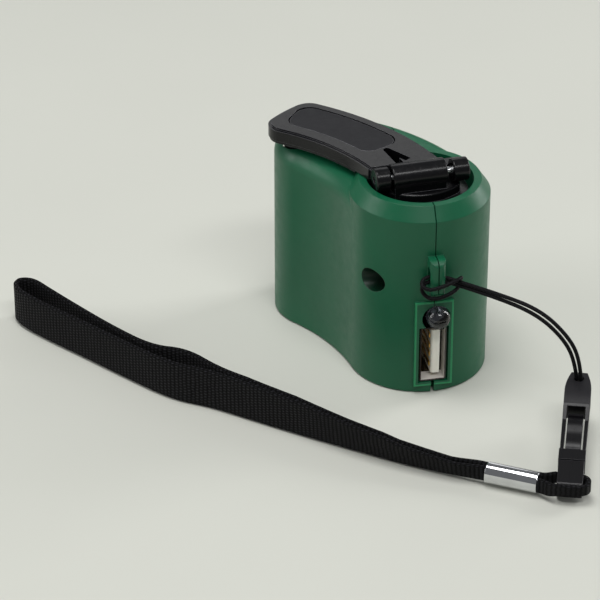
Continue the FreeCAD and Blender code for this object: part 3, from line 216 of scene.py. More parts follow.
def tangents(line):
    """Unit vectors along a line."""
    ahead = np.gradient(line, axis=0)
    return ahead / np.linalg.norm(ahead, axis=1, keepdims=True)


def carried_axes(ahead):
    """Two unit vectors across a line, carried along it with no twist of their own."""
    side = np.zeros_like(ahead)
    first = np.cross(ahead[0], (0.0, 0.0, 1.0))
    if np.linalg.norm(first) < 0.1:
        first = np.cross(ahead[0], (1.0, 0.0, 0.0))
    side[0] = first / np.linalg.norm(first)
    for n in range(1, len(ahead)):
        kept = side[n - 1] - ahead[n] * np.dot(side[n - 1], ahead[n])
        side[n] = kept / np.linalg.norm(kept)
    return side, np.cross(ahead, side)


def cord_mesh(name, line, radius, around=14):
    """A round tube on a line: a circle carried along it, with each end drawn in to its centre. u
    runs along in metres and v once around."""
    dense, along = spaced(line, max(60, int(len(line) * 1.2)))
    side, over = carried_axes(tangents(dense))
    turn = np.linspace(0.0, 2 * math.pi, around, endpoint=False)
    ring = np.cos(turn)[None, :, None] * side[:, None]
    ring = ring + np.sin(turn)[None, :, None] * over[:, None]
    points = dense[:, None] + ring * radius
    start = np.repeat(dense[:1, None], around, axis=1)
    end = np.repeat(dense[-1:, None], around, axis=1)
    points = np.concatenate([start, points, end])
    along = np.concatenate([along[:1], along, along[-1:]])
    share = np.linspace(0.0, 1.0, around + 1)
    uv = np.stack(np.broadcast_arrays(along[:, None], share[None, :]), axis=-1)
    return grid_mesh(name, points, uv, close=True)


def turned_mesh(name, profile, centre, around=64, lowest=-1.0):
    """A profile of (distance along -Y, radius) pairs in millimetres, turned about a line through
    centre and cut flat where it would pass below the height lowest."""
    profile = np.asarray(profile, float) * MM
    turn = np.linspace(0.0, 2 * math.pi, around, endpoint=False)
    x = centre[0] + profile[:, 1, None] * np.cos(turn)[None, :]
    z = np.maximum(centre[2] + profile[:, 1, None] * np.sin(turn)[None, :], lowest)
    y = np.broadcast_to(centre[1] - profile[:, 0, None], x.shape)
    return grid_mesh(name, np.stack([x, y, z], axis=-1), close=True)


# Places that a finish follows, taken from the part's own sizes.
# The hinge barrel: its turn from X about the hub's axis, its middle's X, its axis's Y, how far its
# surface reaches from there in Y, and the height above which it stands.
HINGE_TURN = math.radians(4.0)
BARREL_X, BARREL_Y, BARREL_REACH, BARREL_LOW = -1.25 * MM, -2.1 * MM, 3.0 * MM, 43.4 * MM
# The plate round the socket: half its width, the middle and half of its height, and its rim's
# front.
PLATE_HALF, PLATE_MIDDLE, PLATE_TALL, PLATE_FRONT = 4.15 * MM, 12.25 * MM, 10.25 * MM, -14.95 * MM
# The rim's middle lies this far inside the plate's edge, and it reaches this far to either side.
RIM_INSET, RIM_HALF = 0.16 * MM, 0.24 * MM
# The screw's recess: its axis's Y and Z, its radius with a hair over, and the X that it lies left
# of.
SCREW_Y, SCREW_Z, SCREW_RADIUS, SCREW_LEFT = -8.6 * MM, 25.5 * MM, 2.63 * MM, -6.0 * MM
# The USB shell: its sheared front edge, the depth of the painted highlight at the mouth, its free
# wall and its foot.
SHELL_EDGE, SHELL_HIGHLIGHT_DEPTH, SHELL_WALL, SHELL_FOOT = -14.82 * MM, 3.2 * MM, 2.3 * MM, 3.5 * MM
# A parting line's half width, and how far the buckle's grained tip reaches from its point.
PARTING_HALF = 0.06 * MM
BUCKLE_TIP_LONG = 9.4 * MM
# Samples that a rounded edge's normal is averaged from.
EDGE_SAMPLES = 6

# Materials. Each is named for what the real one is and how its surface was made.


def feed(node, *entries):
    """Sets a node's inputs. Each entry is the next input's value, or a mapping from inputs' names
    to values. A value is a number, a colour, an output, or a node, for its first output."""
    for place, entry in enumerate(entries):
        named = entry if isinstance(entry, dict) else {place: entry}
        for name, value in named.items():
            source = value.outputs[0] if isinstance(value, bpy.types.Node) else value
            if isinstance(source, bpy.types.NodeSocket):
                node.id_data.links.new(source, node.inputs[name])
            else:
                node.inputs[name].default_value = source
    return node


def add(tree, kind, *entries, stops=(), **settings):
    """Adds a node of a kind, with its operation after a dot where it has one. entries are its
    inputs as feed takes them, stops a ramp's (place, grey or colour) pairs, settings the rest."""
    name, _, operation = kind.partition(".")
    made = tree.nodes.new("ShaderNode" + name)
    if operation:
        made.operation = operation
    for setting, value in settings.items():
        setattr(made, setting, value)
    if stops:
        elements = made.color_ramp.elements
        while len(elements) < len(stops):
            elements.new(0.5)
        for element, (place, colour) in zip(elements, stops):
            element.position = place
            element.color = colour if isinstance(colour, tuple) else (colour, colour, colour, 1.0)
    return feed(made, *entries)


def blank_material(name):
    """A new material that holds only its shader, with its tree and that shader."""
    made = bpy.data.materials.new(name)
    made.use_nodes = True
    tree = made.node_tree
    tree.nodes.clear()
    shader = add(tree, "BsdfPrincipled")
    add(tree, "OutputMaterial", shader)
    return made, tree, shader


def object_material(name):
    """A blank material, with each point's place on the object in metres for its patterns."""
    made, tree, shader = blank_material(name)
    return made, tree, shader, add(tree, "TexCoord").outputs["Object"]


def wander(shader, socket, where, patch_mm, detail, rough, stops):
    """Lets one of a shader's inputs wander between a ramp's stops, in patches about patch_mm wide.
    Gives back the noise, which runs from 0 to 1."""
    tree = shader.id_data
    grain = {"Vector": where, "Scale": 1 / (patch_mm * MM), "Detail": detail, "Roughness": rough}
    cloud = add(tree, "TexNoise", grain)
    feed(shader, {socket: add(tree, "ValToRGB", cloud, stops=stops)})
    return cloud


def tint_where(shader, share, colour):
    """Moves the base colour towards another by a share, which is a number or a mask."""
    below = shader.inputs["Base Color"].links[0].from_socket
    inputs = {"Factor": share, "A": below, "B": colour}
    mixed = add(shader.id_data, "Mix", inputs, data_type="RGBA")
    feed(shader, {"Base Color": mixed.outputs[2]})


def painted_edge_highlight(shader, radius_mm, hex_colour, share):
    """Painted edge highlights: the base colour goes towards a paler one along every edge, which is
    where the rounded normal leaves the face's own."""
    tree = shader.id_data
    own = add(tree, "NewGeometry").outputs["Normal"]
    rounded = add(tree, "Bevel", radius_mm * MM, samples=EDGE_SAMPLES)
    kept = add(tree, "VectorMath.DOT_PRODUCT", rounded, own).outputs["Value"]
    edge = add(tree, "ValToRGB", kept, stops=[(0.86, 1.0), (0.985, 0.0)])
    # painted highlight: the base colour is lightened along every edge
    tint_where(shader, add(tree, "Math.MULTIPLY", edge, share), linear(hex_colour))


def shade(colour, factor):
    """A colour made lighter or darker in linear light."""
    return (*[min(1.0, channel * factor) for channel in colour[:3]], 1.0)


def moulded_plastic(name, colour, rough, grain_mm, depth_mm, spread=0.08, level=0.5, edge_mm=0.0):
    """Injection moulding. Spark-eroded steel leaves a fine even grain, which breaks the gloss up,
    and handling leaves faint smoother and duller patches a few millimetres wide. A moulded edge is
    never sharp: edge_mm rounds the shading over it, so that it catches the light."""
    made, tree, shader, where = object_material(name)
    feed(shader, {"IOR": 1.53, "Specular IOR Level": level})
    tints = [(0.3, shade(colour, 1 - spread)), (0.7, shade(colour, 1 + spread))]
    wander(shader, "Base Color", where, 9.0, 3.0, 0.6, tints)
    worn = [(0.32, rough * 0.86), (0.68, min(1.0, rough * 1.16))]
    wander(shader, "Roughness", where, 2.4, 4.0, 0.65, worn)
    grain = add(tree, "TexNoise", {"Vector": where, "Scale": 1 / (grain_mm * MM)})
    relief = {"Height": grain, "Distance": depth_mm * MM, "Strength": 0.6}
    if edge_mm:
        relief["Normal"] = add(tree, "Bevel", edge_mm * MM, samples=EDGE_SAMPLES)
    feed(shader, {"Normal": add(tree, "Bump", relief)})
    return made


def case_abs():
    """ABS, injection moulded, fine satin grain: the green keeps a soft broad sheen at its edges.
    The plate round the socket has a thin raised rim, painted paler as a highlight. The
    screw's recess is painted dark inside, as painted shade."""
    made = moulded_plastic("case_green_abs", colours().case, 0.38, 0.22, 0.012, 0.05, 0.34, 0.22)
    tree = made.node_tree
    shader = tree.nodes["Principled BSDF"]
    axes = add(tree, "SeparateXYZ", add(tree, "TexCoord").outputs["Object"])
    x, y, z = axes.outputs
    off_y = add(tree, "Math.SUBTRACT", y, SCREW_Y)
    off_z = add(tree, "Math.SUBTRACT", z, SCREW_Z)
    square_y = add(tree, "Math.MULTIPLY", off_y, off_y)
    square_z = add(tree, "Math.MULTIPLY", off_z, off_z)
    from_axis = add(tree, "Math.SQRT", add(tree, "Math.ADD", square_y, square_z))
    left_side = add(tree, "Math.LESS_THAN", x, SCREW_LEFT)
    in_hole = add(tree, "Math.LESS_THAN", from_axis, SCREW_RADIUS)
    inside = add(tree, "Math.MULTIPLY", in_hole, left_side)
    # painted shade: the base colour is darkened inside the screw's recess
    tint_where(shader, add(tree, "Math.MULTIPLY", inside, 0.85), linear("#04140c"))
    beside = add(tree, "Math.SUBTRACT", add(tree, "Math.ABSOLUTE", x), PLATE_HALF)
    height = add(tree, "Math.ABSOLUTE", add(tree, "Math.SUBTRACT", z, PLATE_MIDDLE))
    outside = add(tree, "Math.MAXIMUM", beside, add(tree, "Math.SUBTRACT", height, PLATE_TALL))
    from_rim = add(tree, "Math.ABSOLUTE", add(tree, "Math.ADD", outside, RIM_INSET))
    rim = add(tree, "Math.LESS_THAN", from_rim, RIM_HALF)
    raised = add(tree, "Math.LESS_THAN", y, PLATE_FRONT)
    rim_highlight_share = add(tree, "Math.MULTIPLY", add(tree, "Math.MULTIPLY", rim, raised), 0.75)
    # painted highlight: the base colour is made paler on the socket plate's rim
    tint_where(shader, rim_highlight_share, linear("#2f9a64"))
    feed(
        shader,
        {
            "Subsurface Weight": 0.06,
            "Subsurface Radius": (0.4, 0.9, 0.5),
            "Subsurface Scale": 0.8 * MM,
        },
    )
    return made


def crank_abs():
    """ABS, injection moulded, near gloss, scuffed by the crank's swing, with a painted highlight
    along its edges. A parting line stands up round the hinge barrel."""
    made, tree, shader, where = object_material("crank_black_abs")
    colour = colours().crank
    tints = [(0.3, shade(colour, 0.9)), (0.7, shade(colour, 1.1))]
    wander(shader, "Base Color", where, 5.0, 3.0, 0.6, tints)
    scuffs = [(0.35, 0.2), (0.62, 0.27), (0.8, 0.38)]
    wander(shader, "Roughness", where, 0.9, 6.0, 0.75, scuffs)
    feed(shader, {"Specular IOR Level": 0.32})
    turned = {"Vector": where, "Rotation": (0, 0, HINGE_TURN)}
    axes = add(tree, "SeparateXYZ", add(tree, "Mapping", turned, vector_type="TEXTURE"))
    x, y, z = axes.outputs
    off_middle = add(tree, "Math.ABSOLUTE", add(tree, "Math.SUBTRACT", x, BARREL_X))
    line = add(tree, "Math.LESS_THAN", off_middle, PARTING_HALF)
    above = add(tree, "Math.GREATER_THAN", z, BARREL_LOW)
    off_axis = add(tree, "Math.ABSOLUTE", add(tree, "Math.SUBTRACT", y, BARREL_Y))
    on_barrel = add(tree, "Math.LESS_THAN", off_axis, BARREL_REACH)
    ridge = add(tree, "Math.MULTIPLY", add(tree, "Math.MULTIPLY", line, above), on_barrel)
    # painted highlight: the base colour goes paler along every edge
    painted_edge_highlight(shader, 0.14, "#8a8a90", 0.5)
    fine = add(tree, "TexNoise", {"Vector": where, "Scale": 1 / (0.5 * MM)})
    edges = add(tree, "Bevel", 0.16 * MM, samples=EDGE_SAMPLES)
    grain = {"Height": fine, "Distance": 0.003 * MM, "Strength": 0.4, "Normal": edges}
    parting = {"Height": ridge, "Distance": 0.05 * MM, "Strength": 1.0}
    parting["Normal"] = add(tree, "Bump", grain)
    feed(shader, {"Normal": add(tree, "Bump", parting)})
    return made


def inlay_abs():
    """ABS panel, moulded against an etched steel face: dull, with an even pebble grain 0.3 mm wide,
    and a painted highlight along its edges."""
    made, tree, shader, where = object_material("inlay_black_abs")
    colour = colours().inlay
    tints = [(0.3, shade(colour, 0.9)), (0.7, shade(colour, 1.12))]
    wander(shader, "Base Color", where, 6.0, 3.0, 0.6, tints)
    wander(shader, "Roughness", where, 1.6, 4.0, 0.6, [(0.3, 0.5), (0.7, 0.6)])
    feed(shader, {"Specular IOR Level": 0.3})
    # painted highlight: the base colour goes paler along every edge
    painted_edge_highlight(shader, 0.16, "#a0a0a4", 0.8)
    pebbles = {"Vector": where, "Scale": 1 / (0.3 * MM)}
    cells = add(tree, "TexVoronoi", pebbles, feature="SMOOTH_F1")
    relief = {"Height": cells, "Distance": 0.015 * MM, "Strength": 0.6}
    relief["Normal"] = add(tree, "Bevel", 0.2 * MM, samples=EDGE_SAMPLES)
    feed(shader, {"Normal": add(tree, "Bump", relief)})
    return made


def buckle_acetal():
    """Acetal, injection moulded, with a painted highlight along its edges. The tip is duller, with
    a spark-eroded grain, and a parting line is sunk down the buckle's middle."""
    made, tree, shader, where = object_material("buckle_black_acetal")
    placed = {
        "Vector": where,
        "Location": BUCKLE_TIP * MM,
        "Rotation": BUCKLE_TURN.to_euler(),
    }
    axes = add(tree, "SeparateXYZ", add(tree, "Mapping", placed, vector_type="TEXTURE"))
    x, y, _ = axes.outputs
    colour = colours().buckle
    on_tip = add(tree, "Math.LESS_THAN", y, BUCKLE_TIP_LONG)
    ends = {"Factor": on_tip, "A": shade(colour, 0.75), "B": shade(colour, 1.7)}
    tint = add(tree, "Mix", ends, data_type="RGBA").outputs[2]
    gloss = add(tree, "Math.MULTIPLY_ADD", on_tip, 0.2, 0.3)
    feed(shader, {"Base Color": tint, "Roughness": gloss, "Specular IOR Level": 0.3})
    # painted highlight: the base colour goes paler along every edge
    painted_edge_highlight(shader, 0.13, "#6a6a70", 0.5)
    eroded = {"Vector": where, "Scale": 1 / (0.28 * MM), "Detail": 3.0, "Roughness": 0.6}
    depth = add(tree, "Math.MULTIPLY_ADD", on_tip, 0.9, 0.1)
    grained = add(tree, "Math.MULTIPLY", add(tree, "TexNoise", eroded), depth)
    edges = add(tree, "Bevel", 0.18 * MM, samples=EDGE_SAMPLES)
    grain = {"Height": grained, "Distance": 0.07 * MM, "Strength": 0.9, "Normal": edges}
    beside = add(tree, "Math.GREATER_THAN", add(tree, "Math.ABSOLUTE", x), PARTING_HALF)
    parting = {"Height": beside, "Distance": 0.06 * MM, "Strength": 0.8}
    parting["Normal"] = add(tree, "Bump", grain)
    feed(shader, {"Normal": add(tree, "Bump", parting)})
    return made


def plated_steel(name, hex_colour, rough, grain_mm=0.35):
    """Bright plating over steel: near mirror, with faint clouding and hairline wear."""
    made, tree, shader, where = object_material(name)
    feed(shader, {"Metallic": 1.0})
    colour = linear(hex_colour)
    tints = [(0.3, shade(colour, 0.92)), (0.7, shade(colour, 1.05))]
    wander(shader, "Base Color", where, 2.5, 3.0, 0.6, tints)
    worn = [(0.35, rough * 0.7), (0.7, rough * 1.5)]
    wear = wander(shader, "Roughness", where, grain_mm, 5.0, 0.7, worn)
    relief = {"Height": wear, "Distance": 0.004 * MM, "Strength": 0.3}
    feed(shader, {"Normal": add(tree, "Bump", relief)})
    return made


def socket_plate():
    """Nickel plate over drawn brass, near mirror. The lead-in at the mouth, on the free wall and at
    the foot, is painted pale and less metallic as a painted highlight; the sheared front edge is
    painted dark as painted shade."""
    made = plated_steel("socket_nickel_plate", "#8f8678", 0.16)
    tree = made.node_tree
    shader = tree.nodes["Principled BSDF"]
    axes = add(tree, "SeparateXYZ", add(tree, "TexCoord").outputs["Object"])
    x, y, z = axes.outputs
    edge = add(tree, "Math.LESS_THAN", y, SHELL_EDGE)
    mouth = add(tree, "Math.LESS_THAN", y, SHELL_EDGE + SHELL_HIGHLIGHT_DEPTH)
    wall = add(tree, "Math.GREATER_THAN", x, SHELL_WALL)
    foot = add(tree, "Math.LESS_THAN", z, SHELL_FOOT)
    mouth_painted_highlight = add(tree, "Math.MULTIPLY", mouth, add(tree, "Math.MAXIMUM", wall, foot))
    # painted highlight: a pale, less metallic strip at the mouth, on the free wall and at the foot
    tint_where(shader, mouth_painted_highlight, linear("#f6f1ea"))
    # painted shade: the sheared front edge is darkened
    tint_where(shader, edge, linear("#2b2825"))
    feed(shader, {"Metallic": add(tree, "Math.MULTIPLY_ADD", mouth_painted_highlight, -0.8, 1.0)})
    return made


def plain_moulding(name, hex_colour, rough):
    """A small moulded or cast piece inside the case, with its own faint grain."""
    return moulded_plastic(name, linear(hex_colour), rough, 0.3, 0.01, 0.07)


def wound_copper():
    """Enamelled copper wire wound in layers: fine rings with an amber gloss, the base colour
    painted darker in the grooves between turns as painted shade. The turns are drawn 0.3 mm apart,
    coarser than real ones, so that they show."""
    made, tree, shader, where = object_material("winding_copper")
    feed(shader, {"Metallic": 0.9, "Coat Weight": 0.6, "Roughness": 0.35})
    height = add(tree, "SeparateXYZ", where).outputs["Z"]
    turns = add(tree, "Math.SINE", add(tree, "Math.MULTIPLY", height, 2 * math.pi / (0.3 * MM)))
    # painted shade: the base colour is darker in the grooves between turns
    tints = [(0.0, linear("#5a2410")), (0.8, linear("#b5633a"))]
    relief = {"Height": turns, "Distance": 0.05 * MM, "Strength": 0.8}
    tint = add(tree, "ValToRGB", turns, stops=tints)
    feed(shader, {"Base Color": tint, "Normal": add(tree, "Bump", relief)})
    return made


def masked_board():
    """Fibreglass board under green solder mask: smooth, with darker tracks between lands 2.2 mm
    wide."""
    made, tree, shader, where = object_material("board_solder_mask")
    lands = {"Vector": where, "Scale": 1 / (2.2 * MM)}
    cells = add(tree, "TexVoronoi", lands, feature="DISTANCE_TO_EDGE")
    tints = [(0.05, linear("#0b3a1a")), (0.12, linear("#15602c"))]
    relief = {"Height": cells, "Distance": 0.03 * MM, "Strength": 0.4}
    tint = add(tree, "ValToRGB", cells, stops=tints)
    feed(shader, {"Base Color": tint, "Roughness": 0.3, "Normal": add(tree, "Bump", relief)})
    return made


def clear_epoxy():
    """Cast epoxy of the lamp body: clear and glossy, a little smoky."""
    made, tree, shader, where = object_material("lamp_clear_epoxy")
    smoky = {"Base Color": linear("#9a9fa8"), "Transmission Weight": 1.0, "IOR": 1.52}
    feed(shader, smoky)
    wander(shader, "Roughness", where, 1.5, 2.0, 0.5, [(0.3, 0.0), (0.7, 0.03)])
    return made


def woven_webbing():
    """Nylon webbing in plain weave. Each cell of the pattern is one thread on top: it swells in the
    middle and dives at its ends, alternately along and across the strap. Crests shine and are
    painted pale as a highlight, and the gaps between threads are dull and painted dark as shade."""
    made, tree, shader = blank_material("strap_nylon_webbing")
    place = add(tree, "UVMap", uv_map="surface")
    axes = add(tree, "SeparateXYZ", place)
    x, y, _ = axes.outputs
    uneven = add(tree, "TexNoise", {"Vector": place, "Scale": 1 / (2.5 * MM)})
    wobble = add(tree, "Math.MULTIPLY_ADD", uneven, 0.5, -0.25)
    u = add(tree, "Math.ADD", add(tree, "Math.DIVIDE", x, sizes().thread_along), wobble)
    v = add(tree, "Math.ADD", add(tree, "Math.DIVIDE", y, sizes().thread_across), wobble)
    cell = add(tree, "Math.ADD", add(tree, "Math.FLOOR", u), add(tree, "Math.FLOOR", v))
    over = add(tree, "Math.ABSOLUTE", add(tree, "Math.MODULO", cell, 2.0))
    swells = []
    for across in (u, v):
        wave = add(tree, "Math.SINE", add(tree, "Math.MULTIPLY", across, math.pi))
        swells.append(add(tree, "Math.POWER", add(tree, "Math.ABSOLUTE", wave), 0.6))
    round_u, round_v = swells
    warp = add(tree, "Math.MULTIPLY", add(tree, "Math.MULTIPLY", round_u, over), round_v)
    under = add(tree, "Math.SUBTRACT", 1.0, over)
    weft = add(tree, "Math.MULTIPLY", round_v, under)
    weft_low = add(tree, "Math.MULTIPLY", add(tree, "Math.MULTIPLY", weft, round_u), 0.62)
    height = add(tree, "Math.ADD", warp, weft_low)
    fibres = {"Vector": place, "Scale": 1 / (0.16 * MM), "Detail": 3.0, "Roughness": 0.7}
    ruffled = add(tree, "Math.MULTIPLY_ADD", add(tree, "TexNoise", fibres), 0.25, height)
    colour = colours().webbing
    # painted shade and highlight: the base colour runs from dark in the gaps to pale on the crests
    tints = [(0.15, shade(colour, 0.1)), (0.6, shade(colour, 0.8)), (1.0, shade(colour, 5.0))]
    relief = {"Height": ruffled, "Distance": 0.45 * MM, "Strength": 1.0}
    feed(
        shader,
        {
            "Base Color": add(tree, "ValToRGB", height, stops=tints),
            "Roughness": add(tree, "ValToRGB", height, stops=[(0.2, 1.0), (0.9, 0.38)]),
            "Specular IOR Level": 0.2,
            "Normal": add(tree, "Bump", relief),
        },
    )
    return made


def braided_cord():
    """Nylon cord, a tube of braid: two families of strands crossing on the round surface. The base
    colour is painted darker between the strands and paler on their crests, as painted shade and
    highlight.
    """
    made, tree, shader = blank_material("cord_nylon_braid")
    axes = add(tree, "SeparateXYZ", add(tree, "UVMap", uv_map="surface"))
    x, y, _ = axes.outputs
    along = add(tree, "Math.DIVIDE", x, sizes().braid_pitch)
    around = add(tree, "Math.MULTIPLY", y, 4.0)
    strands = []
    for way in ("Math.ADD", "Math.SUBTRACT"):
        slanted = add(tree, "Math.MULTIPLY", add(tree, way, along, around), math.pi)
        strands.append(add(tree, "Math.ABSOLUTE", add(tree, "Math.SINE", slanted)))
    height = add(tree, "Math.MAXIMUM", *strands)
    colour = colours().cord
    # painted shade and highlight: darker in the grooves between strands, paler on their crests
    tints = [(0.4, shade(colour, 0.4)), (1.0, shade(colour, 1.9))]
    relief = {"Height": height, "Distance": 0.08 * MM, "Strength": 1.0}
    feed(
        shader,
        {
            "Base Color": add(tree, "ValToRGB", height, stops=tints),
            "Roughness": 0.5,
            "Specular IOR Level": 0.12,
            "Normal": add(tree, "Bump", relief),
        },
    )
    return made


# Routes, in millimetres: the control points of the cords, as in the part's own solids. The hitch's
# two ends reach 0.2 mm further than there, to where the strands start.
HITCH_ROUTE = (
    (4.45, -17.44, 28.15),
    (1.9, -16.3, 29.0),
    (-2.4, -16.2, 29.5),
    (-3.8, -17.5, 28.4),
    (-2.3, -19.0, 27.6),
    (0.8, -19.1, 28.3),
    (3.4, -18.7, 29.1),
    (5.0, -17.7, 29.2),
    (5.2, -16.2, 28.3),
    (5.0, -16.3, 26.7),
    (3.9, -17.4, 26.1),
    (2.0, -17.9, 25.4),
    (-0.2, -18.1, 24.9),
    (-2.2, -17.8, 25.1),
    (-3.5, -16.8, 26.6),
    (-2.4, -16.2, 28.3),
    (1.9, -16.3, 28.0),
    (4.45, -17.44, 27.25),
)
UPPER_ROUTE = (
    (4.45, -17.44, 28.15),
    (11.33, -23.85, 28.12),
    (18.75, -30.6, 27.13),
    (24.39, -33.22, 21.22),
    (26.6, -33.56, 15.61),
    (27.0, -33.65, 11.0),
)
LOWER_ROUTE = (
    (4.45, -17.44, 27.25),
    (11.13, -23.65, 27.17),
    (18.15, -30.2, 25.93),
    (23.39, -32.42, 20.62),
    (25.65, -32.91, 15.41),
    (26.25, -33.1, 11.0),
)
STRAP_ROUTE = (
    (7.0, -54.1),
    (1.5, -50.6),
    (-5.5, -45.7),
    (-12.7, -40.2),
    (-21.7, -33.2),
    (-30.9, -25.8),
    (-40.2, -17.8),
    (-47.5, -11.4),
    (-54.8, -7.0),
    (-63.6, 4.2),
    (-70.4, 13.2),
    (-77.8, 22.6),
    (-82.6, 29.6),
    (-83.0, 34.4),
    (-78.8, 34.0),
    (-75.6, 28.2),
    (-69.3, 17.7),
    (-64.2, 9.6),
    (-57.6, 0.6),
    (-50.6, -2.2),
    (-45.4, -10.4),
    (-39.3, -16.5),
    (-30.1, -24.5),
    (-20.9, -31.9),
    (-11.9, -38.9),
    (-4.6, -44.4),
    (2.4, -49.4),
    (7.8, -52.8),
)
STRAP_END_ROUTE = (
    (7.3, -52.5),
    (13.1, -56.1),
    (15.9, -56.4),
    (21.9, -58.5),
    (20.5, -62.8),
    (13.9, -60.6),
    (12.3, -57.5),
    (6.5, -53.8),
)
# The buckle's point and its turn, and the crimp's middle on the floor and its turn.
BUCKLE_TIP = Vector((27.35, -31.3, 10.5))
BUCKLE_TURN = (
    Matrix.Rotation(math.radians(160.97), 3, "Z") @ Matrix.Rotation(math.radians(-14.4), 3, "X")
)
CRIMP_MIDDLE = (7.45, -53.45)
CRIMP_TURN = math.radians(-32.1)


def webbing_mesh(name, route, low, width, lean):
    """Webbing on edge along a flat route. low, width and lean are functions of the distance x in
    millimetres: its lower edge, its width, and how far its top tips towards the viewer. The section
    is a flat strip whose edges are rounded over a small share of its width; u runs along and v
    across, both in metres."""
    rows, columns, rounded = 900, 17, 0.06
    flat = [(x, y, 0.0) for x, y in route]
    line, along = spaced(flowing_line(flat, 20), rows)
    ahead = tangents(line)
    left = np.stack([-ahead[:, 1], ahead[:, 0], np.zeros(len(line))], axis=1)
    x_mm = line[:, 0] / MM
    foot, high, tip = low(x_mm) * MM, width(x_mm) * MM, np.radians(lean(x_mm))
    # The lean is towards -Y, and fades out where the route itself runs along Y.
    fade = np.clip(np.abs(left[:, 1]) * 2.0, 0.0, 1.0)
    sway = -np.sign(left[:, 1])
    rise = np.stack([np.zeros_like(tip), np.zeros_like(tip), np.cos(tip)], axis=1)
    rise += left * (np.sin(tip) * sway * fade)[:, None]
    thick = sizes().strap_thick
    across = np.concatenate([np.linspace(0.0, 1.0, columns), np.linspace(1.0, 0.0, columns)])
    face = np.concatenate([np.ones(columns), -np.ones(columns)])
    edge = np.clip(np.minimum(across, 1 - across) / rounded, 0.0, 1.0)
    bulge = np.sqrt(1 - (1 - edge) ** 2) * 0.5
    points = (
        line[:, None]
        + np.array([0.0, 0.0, 1.0]) * foot[:, None, None]
        + rise[:, None] * (across[None, :] * high[:, None])[..., None]
        + left[:, None] * (face * bulge * thick)[None, :, None]
    )
    widths = np.concatenate([across, across[:1]]) * sizes().strap_width
    # The near face's weave is half a thread off the far one's, so that threads don't meet in line.
    offset = np.concatenate([(face > 0), (face[:1] > 0)]) * sizes().thread_across * 0.5
    uv = np.stack(np.broadcast_arrays(along[:, None], (widths + offset)[None, :]), axis=-1)
    start = np.repeat(points[:1].mean(axis=1, keepdims=True), points.shape[1], axis=1)
    end = np.repeat(points[-1:].mean(axis=1, keepdims=True), points.shape[1], axis=1)
    points = np.concatenate([start, points, end])
    uv = np.concatenate([uv[:1], uv, uv[-1:]])
    return grid_mesh(name, points, uv, close=True), along[-1]


def crimp_mesh():
    """Sheet metal folded round the strap: a rounded oblong profile whose last lip tucks in under
    the first at the top, carried along the sleeve's length, with its inner face one sheet inside.
    Its angles are in degrees and its sizes in millimetres."""
    length, wide, high, corner, foot = 10.9, 4.4, 4.5, 2.1, 0.4
    lip_start, lap_start, lap_end, lap_gap = 78.0, 400.0, 452.0, 0.06
    sheet = sizes().crimp_sheet / MM
    turn = np.radians(np.linspace(lip_start, lap_end, 97))
    reach_x, reach_z = wide / 2 - corner, high / 2 - corner
    tucked = np.clip((np.degrees(turn) - lap_start) / (lap_end - lap_start), 0.0, 1.0)
    lap = tucked * (sheet + lap_gap)

    def ring(inward):
        radius = corner - inward - lap
        x = np.sign(np.cos(turn)) * reach_x * np.clip(np.abs(np.cos(turn)) * 4, 0, 1)
        z = np.sign(np.sin(turn)) * reach_z * np.clip(np.abs(np.sin(turn)) * 4, 0, 1)
        return np.stack([x + radius * np.cos(turn), z + radius * np.sin(turn)], axis=1)

    # Towards each end the sheet thins to its own middle: the pressed rims are rounded over.
    outer, inner = ring(0.0), ring(sheet)
    loop = np.concatenate([outer, inner[::-1]])
    rim = np.array([-0.5, -0.495, -0.485, 0.485, 0.495, 0.5]) * length
    pinch = np.array([0.1, 0.03, 0.0, 0.0, 0.03, 0.1])
    middle = (outer + inner) / 2
    core = np.concatenate([middle, middle[::-1]])
    section = loop[None] + (core - loop)[None] * pinch[:, None, None]
    section = np.concatenate([core[None], section, core[None]])
    rim = np.concatenate([rim[:1], rim, rim[-1:]])
    along = np.array([math.cos(CRIMP_TURN), math.sin(CRIMP_TURN), 0.0])
    beside = np.array([-math.sin(CRIMP_TURN), math.cos(CRIMP_TURN), 0.0])
    centre = np.array([*CRIMP_MIDDLE, foot + high / 2])
    points = (
        centre
        + along * rim[:, None, None]
        + beside * section[..., 0:1]
        + np.array([0.0, 0.0, 1.0]) * section[..., 1:2]
    )
    return grid_mesh("crimp_folded", points * MM, close=True)


def finish_nodes(material, *names):
    """Gives the frame's own meshes of these nodes one material."""
    for name in names:
        mesh = NODES[name].data
        mesh.materials.clear()
        mesh.materials.append(material)


class CHARGER_OT_case(bpy.types.Operator):
    """Finishes the two case halves and their screw"""

    bl_idname = "charger.case"
    bl_label = "Case"

    def execute(self, context):
        finish_nodes(case_abs(), "case_left", "case_right")
        finish_nodes(plated_steel("screw_zinc_plate", "#b9b8b2", 0.3), "case_screw")
        return {"FINISHED"}


class CHARGER_OT_crank(bpy.types.Operator):
    """Finishes the crank's hub, arm, inlay, knob and pins"""

    bl_idname = "charger.crank"
    bl_label = "Crank"

    def execute(self, context):
        finish_nodes(crank_abs(), "crank_hub", "crank_arm", "crank_knob")
        finish_nodes(inlay_abs(), "arm_inlay")
        finish_nodes(plated_steel("hinge_pin_steel", "#c6c8ca", 0.22), "hinge_pin")
        finish_nodes(plated_steel("crank_screw_zinc", "#b4b3ae", 0.3), "hub_screw", "knob_screw")
        return {"FINISHED"}


